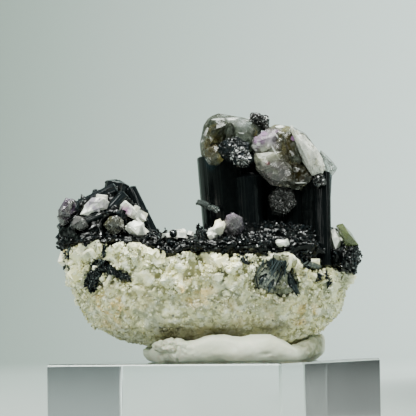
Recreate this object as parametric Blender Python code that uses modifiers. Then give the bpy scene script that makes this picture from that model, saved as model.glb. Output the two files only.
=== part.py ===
"""Fluorite with schorl on feldspar rock, held by putty on a clear display block.

Run with: blender --background --python part.py
The frame is +Z up, with its origin under the middle of the display block. A viewer looks along +Y.
Crystals are laid out as they look from EYE, in a picture that is level with LEAN taken off.
Sizes below are in millimetres. A mesh's points are in metres.
"""

import math
import random

import bmesh
import bpy
from mathutils import Euler, Matrix, Vector, noise

MM = 0.001

# Driving dimensions, in millimetres
TOUCH_GAP = 0.3
BLOCK_SIDE = 40.0
BLOCK_HEIGHT = 20.5
BLOCK_EDGE_BEVEL = 0.35
BLOCK_TURN = math.radians(-25.7)

# A tourmaline prism's faces swell by this share
PRISM_SWELL = 0.07
# A blocky crystal's widest line, as shares of its depth, and its smaller ends: share of the width, slope
CRYSTAL_GIRDLE = (0.25, 0.45)
CRYSTAL_GIRDLE_BAND = 0.2
CRYSTAL_END_WIDTH = (0.5, 0.8)
CRYSTAL_END_SLOPE = 0.14
POCKET_END_WIDTH = 0.7
POCKET_RIM_DEPTH = 0.35

# Where the layout is seen from, and how far the specimen leans over on its putty about the middle of the view
EYE = Vector((-1.12, -400.0, 27.0))
LEAN = math.radians(0.85)
LEAN_CENTRE = Vector((-1.12, 0.0, 44.96))

# The rock's cross-sections: height, left end, right end, half depth
ROCK_SECTIONS = (
    (22.0, -4.5, 9.0, 3.4),
    (22.5, -9.5, 12.0, 5.0),
    (23.4, -14.0, 14.4, 6.6),
    (25.0, -17.9, 16.7, 8.4),
    (27.0, -20.5, 18.5, 10.2),
    (29.0, -21.9, 19.8, 11.5),
    (31.0, -22.7, 20.8, 12.4),
    (33.4, -23.2, 21.5, 13.0),
    (36.3, -24.0, 22.0, 13.3),
    (39.5, -24.8, 22.3, 13.4),
)
ROCK_CROWN = 4.0
ROCK_SAG = 0.35
ROCK_STAND_OFF = 0.25
ROCK_SEED = 11
# How far the rock's surface stands out or in, and how much of that is left on its fine-grained lower part
ROCK_SWELL = 1.1
ROCK_LEDGES = 1.6
ROCK_GRAIN = 0.8
ROCK_LOWER_SHARE = 0.35
ROCK_LOWER_HEIGHTS = (24.0, 34.0)
ROCK_LUMP_SUNK = 0.55
# Feldspar blocks on the rock: how many, between which heights, half sizes
ROCK_LUMPS = (
    (36, (34.6, 38.0), (1.7, 2.8)),
    (28, (31.0, 35.0), (1.4, 2.3)),
    (12, (25.5, 31.0), (1.2, 1.8)),
)

# The line between rock and crust: place from left to right, height
CONTACT_LINE = (
    (-26.0, 38.6),
    (-24.6, 38.4),
    (-23.4, 37.4),
    (-22.0, 38.7),
    (-16.4, 38.8),
    (-12.4, 38.8),
    (-9.8, 37.8),
    (-8.0, 36.7),
    (-5.6, 37.5),
    (-2.8, 37.6),
    (0.8, 37.1),
    (6.4, 37.1),
    (9.6, 36.7),
    (12.6, 35.6),
    (14.8, 36.4),
    (17.6, 35.2),
    (20.0, 34.6),
    (24.0, 33.9),
)
CONTACT_WAVE = 0.3
CONTACT_HALF_SPAN = (30.0, 18.0)
CONTACT_STEPS = (30, 2)

# Rounded masses of the crust: centre, half sizes, how boxy (2 is an ellipsoid)
CRUST_BAND = ((-1.2, 0.0, 37.3), (24.2, 13.7, 3.7), 4.0)
CRUST_MOUND = ((-17.9, 0.0, 41.0), (7.3, 8.6, 6.2), 2.4)
CRUST_TOWER_BASE = ((8.4, 0.0, 39.6), (11.6, 10.8, 3.6), 2.6)
CRUST_END_LOBE = ((20.4, -1.6, 36.4), (2.6, 6.6, 3.3), 2.6)
CRUST_ROUGHNESS = 0.9
CRUST_SEED = 5
CRUST_CRYSTAL_RADII = (0.5, 0.95)
CRUST_CRYSTAL_LENGTHS = (1.6, 2.8)
# Shares of the fused crust's and the fused rock's triangles that are kept
CRUST_KEPT = 0.27
ROCK_KEPT = 0.55
# Share of a crystal's length that stands out of the crust
CRUST_CRYSTAL_STAND = 0.38
CRUST_ENDS = (-25.4, 22.8)
# Crystals on each mass: how many, lowest and highest direction as angles
CRUST_CRYSTALS = (
    (CRUST_BAND, 34, (-0.2, 1.3)),
    (CRUST_MOUND, 15, (0.0, 1.2)),
    (CRUST_TOWER_BASE, 12, (0.1, 0.9)),
    (CRUST_END_LOBE, 6, (-0.5, 0.8)),
)

# Schorl prisms: foot, tip, radius at foot, radius at tip, sides
TOWER_PRISMS = (
    ((3.5, 0.4, 38.0), (2.3, 0.4, 53.4), 5.0, 5.1, 9),
    ((9.8, 1.6, 38.0), (9.8, 1.6, 52.2), 4.8, 4.8, 9),
    ((15.3, -3.0, 37.4), (15.5, -3.0, 50.0), 2.5, 3.0, 12),
    ((14.2, 2.4, 38.0), (14.8, 2.4, 50.4), 3.6, 3.8, 9),
    ((5.9, -3.9, 38.0), (5.3, -3.9, 49.6), 2.3, 2.5, 9),
    ((10.6, 0.0, 45.4), (10.6, -6.4, 45.9), 2.5, 2.2, 6),
    ((17.0, -7.6, 35.4), (16.9, -4.4, 50.2), 1.25, 1.45, 9),
    ((12.4, -5.0, 37.6), (12.6, -3.8, 48.4), 1.5, 1.5, 9),
)
MOUND_LATHS = (
    ((-17.3, 0.0, 41.0), (-15.6, 0.3, 48.9), 2.0, 1.9, 6),
    ((-23.6, -2.6, 44.0), (-15.8, -2.6, 47.9), 0.95, 0.95, 6),
    ((-19.0, -6.7, 41.4), (-14.3, -4.9, 46.8), 0.85, 0.9, 6),
    ((-24.2, -1.2, 41.0), (-22.9, -0.8, 46.2), 0.8, 0.7, 6),
    ((-20.5, 3.6, 41.0), (-18.8, 5.6, 47.8), 1.2, 1.1, 6),
    ((-13.4, 4.4, 40.0), (-14.4, 6.8, 46.4), 1.0, 1.0, 6),
    ((-22.4, -6.2, 41.8), (-17.8, -7.4, 43.9), 0.7, 0.75, 6),
    ((-16.9, -7.9, 40.2), (-13.7, -6.0, 45.0), 0.6, 0.7, 6),
)
FREE_LATH = ((-8.8, -0.6, 38.4), (-13.5, -0.6, 48.1), 0.95, 0.85, 6)
TOP_KNOB = (
    ((5.7, -1.2, 59.6), (8.2, -1.2, 58.7), 0.75, 0.9, 7),
    ((7.9, -1.0, 59.2), (8.0, -1.3, 57.4), 0.65, 0.7, 6),
)

# Lumps of fine schorl: centre, half sizes
FRONT_DRUSE = (((3.0, -5.8, 53.9), (2.5, 1.7, 2.1)), ((4.4, -6.6, 52.3), (1.5, 1.3, 1.5)))
RIGHT_DRUSE = (((16.4, -6.2, 49.0), (1.15, 1.0, 1.15)),)

# Crystals by their outline from the front (left to right, height), then front and back
FELDSPARS = {
    "feldspar_plate_top": (
        (
            (
                (12.3, 57.3), (14.4, 56.5), (16.4, 54.4), (17.2, 52.9), (17.5, 51.3), (17.2, 50.2),
                (15.5, 50.2), (14.0, 52.4), (12.7, 55.6),
            ),
            (-7.7, -3.4),
        ),
    ),
    "feldspar_mound_upper": (
        (
            (
                (-21.0, 45.3), (-19.7, 46.6), (-17.8, 46.7), (-16.9, 45.9), (-17.3, 44.8),
                (-18.7, 44.2), (-20.6, 44.1),
            ),
            (-8.4, -4.2),
        ),
        (((-21.6, 43.9), (-20.9, 45.2), (-19.4, 44.9), (-19.6, 43.6)), (-8.0, -5.0)),
    ),
    "feldspar_mound_right": (
        (
            (
                (-15.4, 45.6), (-14.4, 46.3), (-13.0, 45.0), (-11.2, 43.6), (-11.0, 42.9),
                (-12.3, 42.8), (-14.1, 43.7), (-15.3, 44.6),
            ),
            (-7.6, -2.6),
        ),
    ),
    "feldspar_mound_lower": (
        (
            (
                (-14.4, 42.0), (-13.0, 43.0), (-11.4, 42.6), (-11.0, 40.6), (-12.2, 40.0),
                (-13.7, 40.9),
            ),
            (-10.2, -5.6),
        ),
    ),
    "feldspar_saddle": (
        (((-8.1, 40.2), (-7.2, 41.0), (-5.9, 41.3), (-4.4, 41.0), (-4.0, 40.0), (-6.0, 39.3)), (-8.4, 2.5)),
        (((-7.9, 39.6), (-7.0, 40.4), (-5.6, 40.2), (-5.3, 39.4), (-6.6, 39.0)), (-12.4, -7.4)),
    ),
    "feldspar_grain_front": (
        (((-0.7, 41.4), (0.4, 43.0), (1.4, 42.4), (1.3, 40.9), (0.2, 40.2)), (-11.9, -8.2)),
        (((-1.4, 41.0), (-0.4, 41.6), (0.6, 40.8), (0.0, 39.9), (-1.0, 40.2)), (-12.3, -8.6)),
    ),
    "feldspar_grain_centre": (
        (((9.7, 39.4), (10.3, 39.9), (11.6, 39.8), (11.9, 39.2), (11.2, 38.9), (10.0, 38.9)), (-13.4, -11.2)),
    ),
    "feldspar_end_right": (
        (((18.2, 41.4), (19.1, 41.7), (20.3, 40.0), (20.0, 38.6), (19.3, 37.9), (18.4, 38.4)), (-6.6, 1.4)),
    ),
    "feldspar_back_left": (
        (((-21.5, 44.8), (-19.2, 45.9), (-17.4, 44.6), (-18.0, 42.6), (-20.8, 42.4)), (4.4, 8.8)),
    ),
    "feldspar_back_right": (
        (((7.0, 44.5), (9.6, 45.2), (11.6, 43.6), (10.8, 41.6), (7.6, 41.8)), (6.4, 11.2)),
    ),
}
FLUORITES = {
    "fluorite_top_right": (
        (
            (
                (7.4, 57.0), (9.6, 58.2), (12.2, 58.2), (14.4, 56.8), (16.6, 53.8), (17.6, 50.2),
                (16.4, 48.3), (12.8, 47.5), (9.8, 48.3), (7.5, 50.2), (6.3, 52.7), (6.0, 55.0),
            ),
            (-6.6, 5.2),
        ),
        (((6.0, 56.0), (7.8, 57.6), (9.9, 57.6), (10.4, 55.6), (8.6, 53.6), (6.6, 53.6)), (-7.6, -2.0)),
        (
            (
                (6.4, 53.6), (6.5, 51.8), (7.1, 50.1), (8.4, 48.8), (10.6, 48.5), (12.6, 48.2),
                (13.0, 50.4), (10.6, 53.9),
            ),
            (-8.4, -4.6),
        ),
        (
            (
                (12.0, 52.8), (14.2, 52.0), (15.6, 50.0), (15.4, 48.6), (13.9, 47.9), (12.4, 48.1),
                (11.6, 50.0),
            ),
            (-7.4, -3.0),
        ),
        (((10.8, 57.0), (13.2, 57.2), (14.2, 53.2), (13.2, 50.2), (11.4, 52.4)), (-7.4, -2.0)),
    ),
    "fluorite_top_left": (
        (
            (
                (-1.1, 59.4), (0.6, 60.0), (4.6, 59.3), (7.4, 58.3), (6.8, 54.0), (4.0, 51.2),
                (-0.2, 51.0), (-2.1, 53.4), (-2.3, 55.2), (-1.7, 58.2),
            ),
            (-4.4, 5.0),
        ),
        (((-1.6, 57.6), (-0.6, 59.2), (2.0, 58.6), (1.6, 55.4), (-1.0, 54.6)), (-5.4, -1.0)),
        (((2.6, 58.6), (4.4, 59.0), (6.4, 57.4), (5.6, 55.4), (3.2, 56.0)), (-5.6, -1.4)),
        (((-1.8, 54.0), (0.0, 55.2), (1.8, 53.6), (1.0, 51.8), (-1.0, 51.8)), (-5.9, -2.0)),
    ),
    "fluorite_top_edge": (
        (
            (
                (16.9, 54.2), (17.9, 53.3), (19.0, 52.1), (19.5, 51.4), (19.1, 50.6), (18.6, 50.1),
                (17.3, 49.8), (16.3, 51.2),
            ),
            (-2.6, 4.4),
        ),
    ),
    "fluorite_crust_front": (
        (
            (
                (1.4, 42.2), (1.9, 43.7), (2.9, 44.1), (4.3, 43.4), (4.6, 41.8), (4.0, 40.8),
                (2.6, 40.7), (1.6, 41.2),
            ),
            (-11.6, -7.6),
        ),
    ),
    "fluorite_end_right": (
        (((19.4, 42.2), (20.4, 42.4), (21.8, 40.8), (22.9, 39.1), (21.2, 38.8), (20.2, 40.0)), (-6.4, -2.6)),
    ),
    "fluorite_mound_left": (
        (
            (
                (-25.0, 44.6), (-23.8, 46.6), (-22.6, 46.2), (-21.9, 44.6), (-22.9, 43.2),
                (-25.0, 43.2),
            ),
            (-5.6, -1.6),
        ),
        (((-25.2, 43.6), (-23.9, 44.2), (-23.3, 42.6), (-24.6, 42.0)), (-5.0, -1.6)),
    ),
    "fluorite_mound_front": (
        (((-23.2, 42.0), (-22.3, 43.6), (-21.0, 43.5), (-20.2, 42.0), (-21.6, 41.3)), (-8.6, -4.6)),
    ),
    "fluorite_mound_centre": (
        (
            (
                (-17.8, 42.2), (-16.8, 43.5), (-15.6, 43.7), (-14.7, 42.9), (-14.6, 41.2),
                (-16.2, 40.5),
            ),
            (-9.8, -5.6),
        ),
    ),
    "fluorite_back": (
        (((-1.5, 45.6), (1.0, 47.6), (4.2, 46.6), (4.8, 43.6), (2.0, 41.8), (-1.0, 42.6)), (5.2, 10.2)),
    ),
}
TOWER_SIDE_CRYSTALS = {
    "fluorite_tower_left": ((-1.0, -2.6, 45.2), (-3.1, -3.4, 45.9), 0.8, 0.6, 6),
    "fluorite_tower_front": ((-1.1, -4.0, 44.8), (0.7, -5.8, 44.5), 0.65, 0.55, 6),
}

# Crystals set in the rock's front face: outline, how far out of the face, how far in
POCKET_OUTLINES = {
    "fluorite_pocket": (
        (
            (6.3, 32.6), (6.6, 35.4), (8.2, 36.4), (10.8, 36.4), (12.9, 35.0), (13.4, 32.4),
            (11.4, 31.2), (8.7, 31.6),
        ),
        (0.5, 3.4),
    ),
    "fluorite_lens": (((14.1, 35.7), (15.1, 36.5), (17.0, 36.3), (18.0, 35.8), (16.6, 35.1)), (0.6, 2.4)),
}
# Tufts in the rock's front face: foot and tip seen from the front, radius
ROCK_TUFTS = {
    "schorl_tuft": (
        ((-17.6, 36.2), (-20.4, 33.5), 0.75),
        ((-18.3, 36.5), (-19.3, 32.7), 0.75),
        ((-18.5, 35.8), (-13.8, 33.7), 0.7),
        ((-18.8, 36.1), (-16.6, 35.2), 0.85),
        ((-19.4, 34.8), (-20.2, 32.2), 0.5),
    ),
    "tourmaline_needles": (
        ((10.6, 36.9), (13.2, 31.3), 0.6),
        ((11.3, 36.9), (12.1, 32.8), 0.55),
        ((10.1, 37.0), (7.1, 33.2), 0.4),
        ((10.5, 36.8), (8.6, 32.0), 0.4),
    ),
}
TUFT_FOOT_DEPTH = 1.4
TUFT_TIP_STAND = 0.7

PUTTY_CENTRE = (2.4, 0.0)
PUTTY_HALF_SIZE = (14.5, 11.2)
PUTTY_STAND_OFF = 0.75
PUTTY_SEED = 3
# The putty's rim: direction in degrees (the viewer is at -90), height above the block
PUTTY_RIM = (
    (-180, 3.7),
    (-150, 4.0),
    (-135, 3.7),
    (-122, 3.1),
    (-112, 4.1),
    (-96, 4.7),
    (-84, 4.2),
    (-68, 5.1),
    (-52, 4.1),
    (-38, 1.9),
    (-20, 3.9),
    (0, 4.7),
    (40, 4.7),
    (90, 4.3),
    (150, 4.5),
    (180, 3.7),
)

COLOURS = {
    "feldspar": ((0.70, 0.68, 0.50), 0.75, 0.0),
    "feldspar_white": ((0.82, 0.81, 0.72), 0.6, 0.0),
    "schorl": ((0.012, 0.014, 0.014), 0.3, 0.0),
    "tourmaline_blue": ((0.02, 0.05, 0.08), 0.3, 0.0),
    "fluorite": ((0.45, 0.47, 0.42), 0.1, 0.0),
    "putty": ((0.62, 0.63, 0.52), 0.8, 0.0),
    "acrylic": ((0.85, 0.90, 0.89), 0.05, 0.0),
}


def clear_scene():
    for obj in list(bpy.data.objects):
        bpy.data.objects.remove(obj)


def new_collection(name):
    made = bpy.data.collections.new(name)
    bpy.context.scene.collection.children.link(made)
    return made


def material(name):
    found = bpy.data.materials.get(name)
    if found:
        return found
    colour, roughness, metallic = COLOURS[name]
    made = bpy.data.materials.new(name)
    made.use_nodes = True
    shader = made.node_tree.nodes["Principled BSDF"]
    shader.inputs["Base Color"].default_value = (*colour, 1)
    shader.inputs["Roughness"].default_value = roughness
    shader.inputs["Metallic"].default_value = metallic
    return made


def object_from(name, bm, collection, helper=False, leaning=True):
    """Makes a mesh object of a bmesh whose points are in millimetres."""
    bmesh.ops.recalc_face_normals(bm, faces=bm.faces)
    if leaning:
        bmesh.ops.rotate(bm, cent=LEAN_CENTRE, matrix=Matrix.Rotation(LEAN, 3, "Y"), verts=bm.verts)
    bmesh.ops.scale(bm, vec=(MM, MM, MM), verts=bm.verts)
    mesh = bpy.data.meshes.new(name)
    bm.to_mesh(mesh)
    bm.free()
    obj = bpy.data.objects.new(name, mesh)
    collection.objects.link(obj)
    if helper:
        obj.hide_render = True
        obj.display_type = "WIRE"
    return obj


def prism_bmesh(foot, tip, foot_radius, tip_radius, sides, turn=0.0):
    """A prism from foot to tip. With 9 or 12 sides every third edge stands proud, as on tourmaline."""
    foot, tip = Vector(foot), Vector(tip)
    axis = tip - foot
    bm = bmesh.new()
    bmesh.ops.create_cone(
        bm, cap_ends=True, segments=sides, radius1=foot_radius, radius2=tip_radius, depth=axis.length
    )
    if sides % 3 == 0:
        for vert in bm.verts:
            around = math.atan2(vert.co.y, vert.co.x)
            swell = 1 + PRISM_SWELL * math.cos(3 * around)
            vert.co.x *= swell
            vert.co.y *= swell
    place = (
        Matrix.Translation((foot + tip) / 2)
        @ axis.to_track_quat("Z", "Y").to_matrix().to_4x4()
        @ Matrix.Rotation(turn, 4, "Z")
    )
    bmesh.ops.transform(bm, matrix=place, verts=bm.verts)
    return bm


def hull_bmesh(points):
    """The closed convex solid round some points."""
    bm = bmesh.new()
    for point in points:
        bm.verts.new(point)
    result = bmesh.ops.convex_hull(bm, input=bm.verts)
    spare = set(result["geom_interior"]) | set(result["geom_unused"])
    bmesh.ops.delete(bm, geom=[v for v in spare if isinstance(v, bmesh.types.BMVert)], context="VERTS")
    return bm


def seen_at(x, z, y):
    """The place at depth y that looks, from the eye, as if it stood at x and z in the middle plane."""
    share = 1 - y / EYE.y
    return Vector((EYE.x + (x - EYE.x) * share, y, EYE.z + (z - EYE.z) * share))


def crystal_bmesh(outline, depth, rng):
    """A blocky crystal: its outline half-way back, and every second corner, drawn in, at front and back."""
    front, back = depth
    middle_x = sum(x for x, _ in outline) / len(outline)
    middle_z = sum(z for _, z in outline) / len(outline)
    points = []
    for n, (x, z) in enumerate(outline):
        girdle = front + (back - front) * rng.uniform(*CRYSTAL_GIRDLE)
        points.append(seen_at(x, z, girdle))
        points.append(seen_at(x, z, girdle + (back - front) * CRYSTAL_GIRDLE_BAND))
        if n % 2 == 0:
            for end, inwards in ((front, 1), (back, -1)):
                kept = rng.uniform(*CRYSTAL_END_WIDTH)
                place = (middle_x + (x - middle_x) * kept, middle_z + (z - middle_z) * kept)
                slope = inwards * (back - front) * rng.uniform(0.0, CRYSTAL_END_SLOPE)
                points.append(seen_at(*place, end + slope))
    return hull_bmesh(points)


def lump_bmesh(centre, half_sizes, seed, points=14):
    """A convex grain with flat faces."""
    rng = random.Random(seed)
    corners = []
    for n in range(points):
        height = 1 - 2 * (n + 0.5) / points
        around = n * 2.39996 + rng.uniform(-0.4, 0.4)
        level = math.sqrt(1 - height * height)
        reach = rng.uniform(0.85, 1.1)
        corners.append(
            Vector(centre)
            + Vector(
                (
                    half_sizes[0] * level * math.cos(around) * reach,
                    half_sizes[1] * level * math.sin(around) * reach,
                    half_sizes[2] * height * reach,
                )
            )
        )
    return hull_bmesh(corners)


def block_bmesh(centre, half_sizes, rng):
    """A split block with six flat faces, turned any way."""
    turn = Euler([rng.uniform(0, math.pi) for _ in range(3)]).to_matrix()
    corners = []
    for x in (-1, 1):
        for y in (-1, 1):
            for z in (-1, 1):
                corner = Vector((x, y, z)) * rng.uniform(0.82, 1.0)
                corners.append(Vector(centre) + turn @ Vector([corner[i] * half_sizes[i] for i in range(3)]))
    return hull_bmesh(corners)


def socket_bmesh(obj):
    """The convex solid round an object's own, TOUCH_GAP outside each of its faces."""
    bm = bmesh.new()
    bm.from_mesh(obj.data)
    bm.normal_update()
    points = [(vert.co / MM) + face.normal * TOUCH_GAP for face in bm.faces for vert in face.verts]
    bm.free()
    return hull_bmesh(points)


class Piece:
    """One node: its convex bits, which are fused, and the sockets that they need in their neighbours."""

    def __init__(self, name, look, parts, helpers):
        self.name = name
        self.look = look
        self.bits = []
        self.sockets = []
        for n, bm in enumerate(parts):
            bit = object_from(f"{name}_bit_{n}", bm, helpers, True)
            self.bits.append(bit)
            socket = object_from(f"{name}_socket_{n}", socket_bmesh(bit), helpers, True, leaning=False)
            self.sockets.append(socket)


def box_of(obj):
    points = [vert.co for vert in obj.data.vertices]
    low = Vector((min(p[i] for p in points) for i in range(3)))
    high = Vector((max(p[i] for p in points) for i in range(3)))
    return low, high


def boxes_meet(first, second):
    (low_a, high_a), (low_b, high_b) = box_of(first), box_of(second)
    return all(low_a[i] < high_b[i] and low_b[i] < high_a[i] for i in range(3))


def boolean(obj, operation, operands, name):
    """Joins or cuts obj with several helpers at once."""
    if not operands:
        return
    group = bpy.data.collections.new(name)
    for operand in operands:
        group.objects.link(operand)
    modifier = obj.modifiers.new(name, "BOOLEAN")
    modifier.operation = operation
    modifier.operand_type = "COLLECTION"
    modifier.collection = group
    modifier.solver = "EXACT"


def largest_body_only(mesh):
    """Takes away the chips that a cut leaves loose."""
    bm = bmesh.new()
    bm.from_mesh(mesh)
    unseen = set(bm.faces)
    bodies = []
    while unseen:
        stack = [unseen.pop()]
        body = list(stack)
        while stack:
            for edge in stack.pop().edges:
                for face in edge.link_faces:
                    if face in unseen:
                        unseen.remove(face)
                        stack.append(face)
                        body.append(face)
        bodies.append(body)
    bodies.sort(key=lambda body: sum(face.calc_area() for face in body))
    loose = [face for body in bodies[:-1] for face in body]
    bmesh.ops.delete(bm, geom=loose, context="FACES")
    bm.to_mesh(mesh)
    bm.free()


def settle(obj):
    """Applies an object's modifiers and drops its loose chips."""
    bpy.context.view_layer.update()
    graph = bpy.context.evaluated_depsgraph_get()
    mesh = bpy.data.meshes.new_from_object(obj.evaluated_get(graph))
    largest_body_only(mesh)
    obj.modifiers.clear()
    old = obj.data
    obj.data = mesh
    bpy.data.meshes.remove(old)
    mesh.name = obj.name


def make_node(piece, earlier, specimen):
    """Fuses a piece's bits, and cuts it back where an earlier piece sits in it."""
    obj = bpy.data.objects.new(piece.name, piece.bits[0].data.copy())
    specimen.objects.link(obj)
    obj.data.materials.append(material(piece.look))
    boolean(obj, "UNION", piece.bits[1:], f"{piece.name}_fuse")
    cuts = [
        socket
        for other in earlier
        for socket in other.sockets
        if any(boxes_meet(bit, socket) for bit in piece.bits)
    ]
    boolean(obj, "DIFFERENCE", cuts, f"{piece.name}_cuts")
    settle(obj)
    return obj


def section_at(height):
    """(left end, right end, half depth) of the rock at a height."""
    low = ROCK_SECTIONS[0]
    if height <= low[0]:
        return low[1:]
    for high in ROCK_SECTIONS[1:]:
        if height <= high[0]:
            share = (height - low[0]) / (high[0] - low[0])
            return tuple(a + (b - a) * share for a, b in zip(low[1:], high[1:]))
        low = high
    return low[1:]


def rock_face(x, z):
    """How far forward the rock's front face stands at a place seen from the front."""
    left, right, depth = section_at(z)
    across = (2 * x - left - right) / (right - left)
    return -depth * math.sqrt(max(0.0, 1 - across * across))


def rock_height_for(share):
    """The height below the widest section where the rock's half depth is this share of its widest."""
    widest = ROCK_SECTIONS[-1][3]
    low = ROCK_SECTIONS[0]
    if share * widest <= low[3]:
        return low[0] - ROCK_SAG * (1 - share * widest / low[3])
    for high in ROCK_SECTIONS[1:]:
        if share * widest <= high[3]:
            part = (share * widest - low[3]) / (high[3] - low[3])
            return low[0] + (high[0] - low[0]) * part
        low = high
    return low[0]


def rock_bmesh(subdivisions, roughness, stand_off):
    """The rock's body, from an icosphere drawn out to the sections, with swells and ledges."""
    bm = bmesh.new()
    bmesh.ops.create_icosphere(bm, subdivisions=subdivisions, radius=1)
    top = ROCK_SECTIONS[-1][0]
    for vert in bm.verts:
        direction = vert.co.normalized()
        level = math.hypot(direction.x, direction.y)
        height = rock_height_for(level) if direction.z < 0 else top + ROCK_CROWN * direction.z
        left, right, depth = section_at(height)
        if direction.z >= 0:
            left, right, depth = (side * level for side in (left, right, depth))
        around = direction.xy.normalized() if level > 1e-6 else Vector((0, 0))
        if height <= ROCK_SECTIONS[0][0]:
            shrink = level * ROCK_SECTIONS[-1][3] / ROCK_SECTIONS[0][3]
            middle = (left + right) / 2
            left, right = middle + (left - middle) * shrink, middle + (right - middle) * shrink
            depth *= shrink
        vert.co = Vector(
            ((left + right) / 2 + around.x * (right - left) / 2, around.y * depth, height)
        )
    bm.normal_update()
    moves = {}
    for vert in bm.verts:
        place = vert.co + Vector((ROCK_SEED, 0, 0))
        low, high = ROCK_LOWER_HEIGHTS
        rise = min(1.0, max(0.0, (vert.co.z - low) / (high - low)))
        share = ROCK_LOWER_SHARE + (1 - ROCK_LOWER_SHARE) * rise
        swell = ROCK_SWELL * noise.noise(place * 0.16)
        distances, _ = noise.voronoi(place * 0.3)
        ledge = ROCK_LEDGES * (0.45 - distances[0])
        grain = ROCK_GRAIN * noise.noise(place * 1.1)
        moves[vert] = vert.normal * (stand_off + roughness * share * (swell + ledge + grain))
    for vert, move in moves.items():
        vert.co += move
    return bm


def contact_height(x, y):
    """Height of the line between rock and crust."""
    low = CONTACT_LINE[0]
    base = CONTACT_LINE[-1][1]
    for high in CONTACT_LINE[1:]:
        if x <= high[0]:
            share = max(0.0, (x - low[0]) / (high[0] - low[0]))
            base = low[1] + (high[1] - low[1]) * share
            break
        low = high
    return base + CONTACT_WAVE * noise.noise(Vector((x * 0.5, y * 0.5, 4.0)))


def contact_cutter(name, helpers, lift, reach):
    """A block on one side of the contact: reach is how far it goes up (or, if negative, down)."""
    bm = bmesh.new()
    half_x, half_y = CONTACT_HALF_SPAN
    bmesh.ops.create_grid(bm, x_segments=CONTACT_STEPS[0], y_segments=CONTACT_STEPS[1], size=1)
    for vert in bm.verts:
        x, y = vert.co.x * half_x, vert.co.y * half_y
        vert.co = Vector((x, y, contact_height(x, y) + lift))
    far = bmesh.ops.extrude_face_region(bm, geom=bm.faces[:])
    for vert in far["geom"]:
        if isinstance(vert, bmesh.types.BMVert):
            vert.co.z = CONTACT_LINE[0][1] + reach
    return object_from(name, bm, helpers, True)


def boxy_mass_bmesh(mass, subdivisions, roughness, seed):
    """An ellipsoid between round and boxy, with a rough surface."""
    centre, half_sizes, power = mass
    bm = bmesh.new()
    bmesh.ops.create_icosphere(bm, subdivisions=subdivisions, radius=1)
    for vert in bm.verts:
        direction = vert.co.normalized()
        level = math.hypot(direction.x, direction.y)
        size = (level**power + abs(direction.z) ** power) ** (-1 / power)
        vert.co = Vector([centre[i] + half_sizes[i] * direction[i] * size for i in range(3)])
    bm.normal_update()
    moves = {}
    for vert in bm.verts:
        place = vert.co * 0.45 + Vector((seed, 0, 0))
        moves[vert] = vert.normal * roughness * (noise.noise(place) + 0.6 * noise.noise(place * 2.3))
    for vert, move in moves.items():
        vert.co += move
    return bm


def mass_surface(mass, around, rise):
    """A place on a crust mass: around and rise are angles."""
    centre, half_sizes, power = mass
    direction = Vector((math.cos(rise) * math.cos(around), math.cos(rise) * math.sin(around), math.sin(rise)))
    level = math.cos(rise)
    size = (level**power + abs(direction.z) ** power) ** (-1 / power)
    offset = Vector([half_sizes[i] * direction[i] * size for i in range(3)])
    return Vector(centre) + offset, offset.normalized()


def crust_crystals():
    """Short schorl prisms that stand out of the crust in all directions."""
    rng = random.Random(CRUST_SEED)
    made = []
    for mass, count, (lowest, highest) in CRUST_CRYSTALS:
        for n in range(count):
            around = 2 * math.pi * (n + rng.uniform(-0.4, 0.4)) / count * 3.0
            place, outwards = mass_surface(mass, around, rng.uniform(lowest, highest))
            if contact_height(place.x, place.y) > place.z + 0.4:
                place.z = contact_height(place.x, place.y) + rng.uniform(0.0, 1.2)
            lean = Vector([rng.uniform(-1, 1) for _ in range(3)])
            axis = (outwards + 0.9 * lean).normalized()
            length = rng.uniform(*CRUST_CRYSTAL_LENGTHS)
            radius = rng.uniform(*CRUST_CRYSTAL_RADII)
            foot = place - axis * length * (1 - CRUST_CRYSTAL_STAND)
            tip = place + axis * length * CRUST_CRYSTAL_STAND
            over = max(0.0, tip.x + radius - CRUST_ENDS[1]) - max(0.0, CRUST_ENDS[0] - tip.x + radius)
            inwards = Vector((-over, 0, 0))
            tip_radius = radius * rng.uniform(0.8, 1.0)
            turn = rng.uniform(0, 1)
            made.append(prism_bmesh(foot + inwards, tip + inwards, radius, tip_radius, 6, turn))
    return made


def rock_lumps():
    """Feldspar blocks all the way round the rock, the larger ones near the crust."""
    rng = random.Random(ROCK_SEED)
    made = []
    for count, heights, sizes in ROCK_LUMPS:
        for n in range(count):
            height = rng.uniform(*heights)
            around = 2 * math.pi * (n + rng.uniform(-0.4, 0.4)) / count
            left, right, depth = section_at(height)
            size = rng.uniform(*sizes)
            inset = 1 - ROCK_LUMP_SUNK * size / depth
            centre = (
                (left + right) / 2 + math.cos(around) * (right - left) / 2 * inset,
                math.sin(around) * depth * inset,
                height,
            )
            made.append(block_bmesh(centre, [size * rng.uniform(0.6, 1.1) for _ in range(3)], rng))
    return made


def pocket_bmesh(outline, out_of_face, into_face):
    """A crystal set in the rock's face, with its outline as seen from the front."""
    middle_x = sum(x for x, _ in outline) / len(outline)
    middle_z = sum(z for _, z in outline) / len(outline)
    points = []
    for x, z in outline:
        near_x = middle_x + (x - middle_x) * POCKET_END_WIDTH
        near_z = middle_z + (z - middle_z) * POCKET_END_WIDTH
        face = rock_face(near_x, near_z)
        points.append(seen_at(x, z, rock_face(x, z) + POCKET_RIM_DEPTH))
        points.append(seen_at(near_x, near_z, face - out_of_face))
        points.append(seen_at(near_x, near_z, face + into_face))
    return hull_bmesh(points)


def tuft_bmeshes(needles):
    made = []
    for (foot_x, foot_z), (tip_x, tip_z), radius in needles:
        foot = seen_at(foot_x, foot_z, rock_face(foot_x, foot_z) + TUFT_FOOT_DEPTH)
        tip = seen_at(tip_x, tip_z, rock_face(tip_x, tip_z) - TUFT_TIP_STAND)
        made.append(prism_bmesh(foot, tip, radius, radius * 0.55, 6))
    return made


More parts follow.
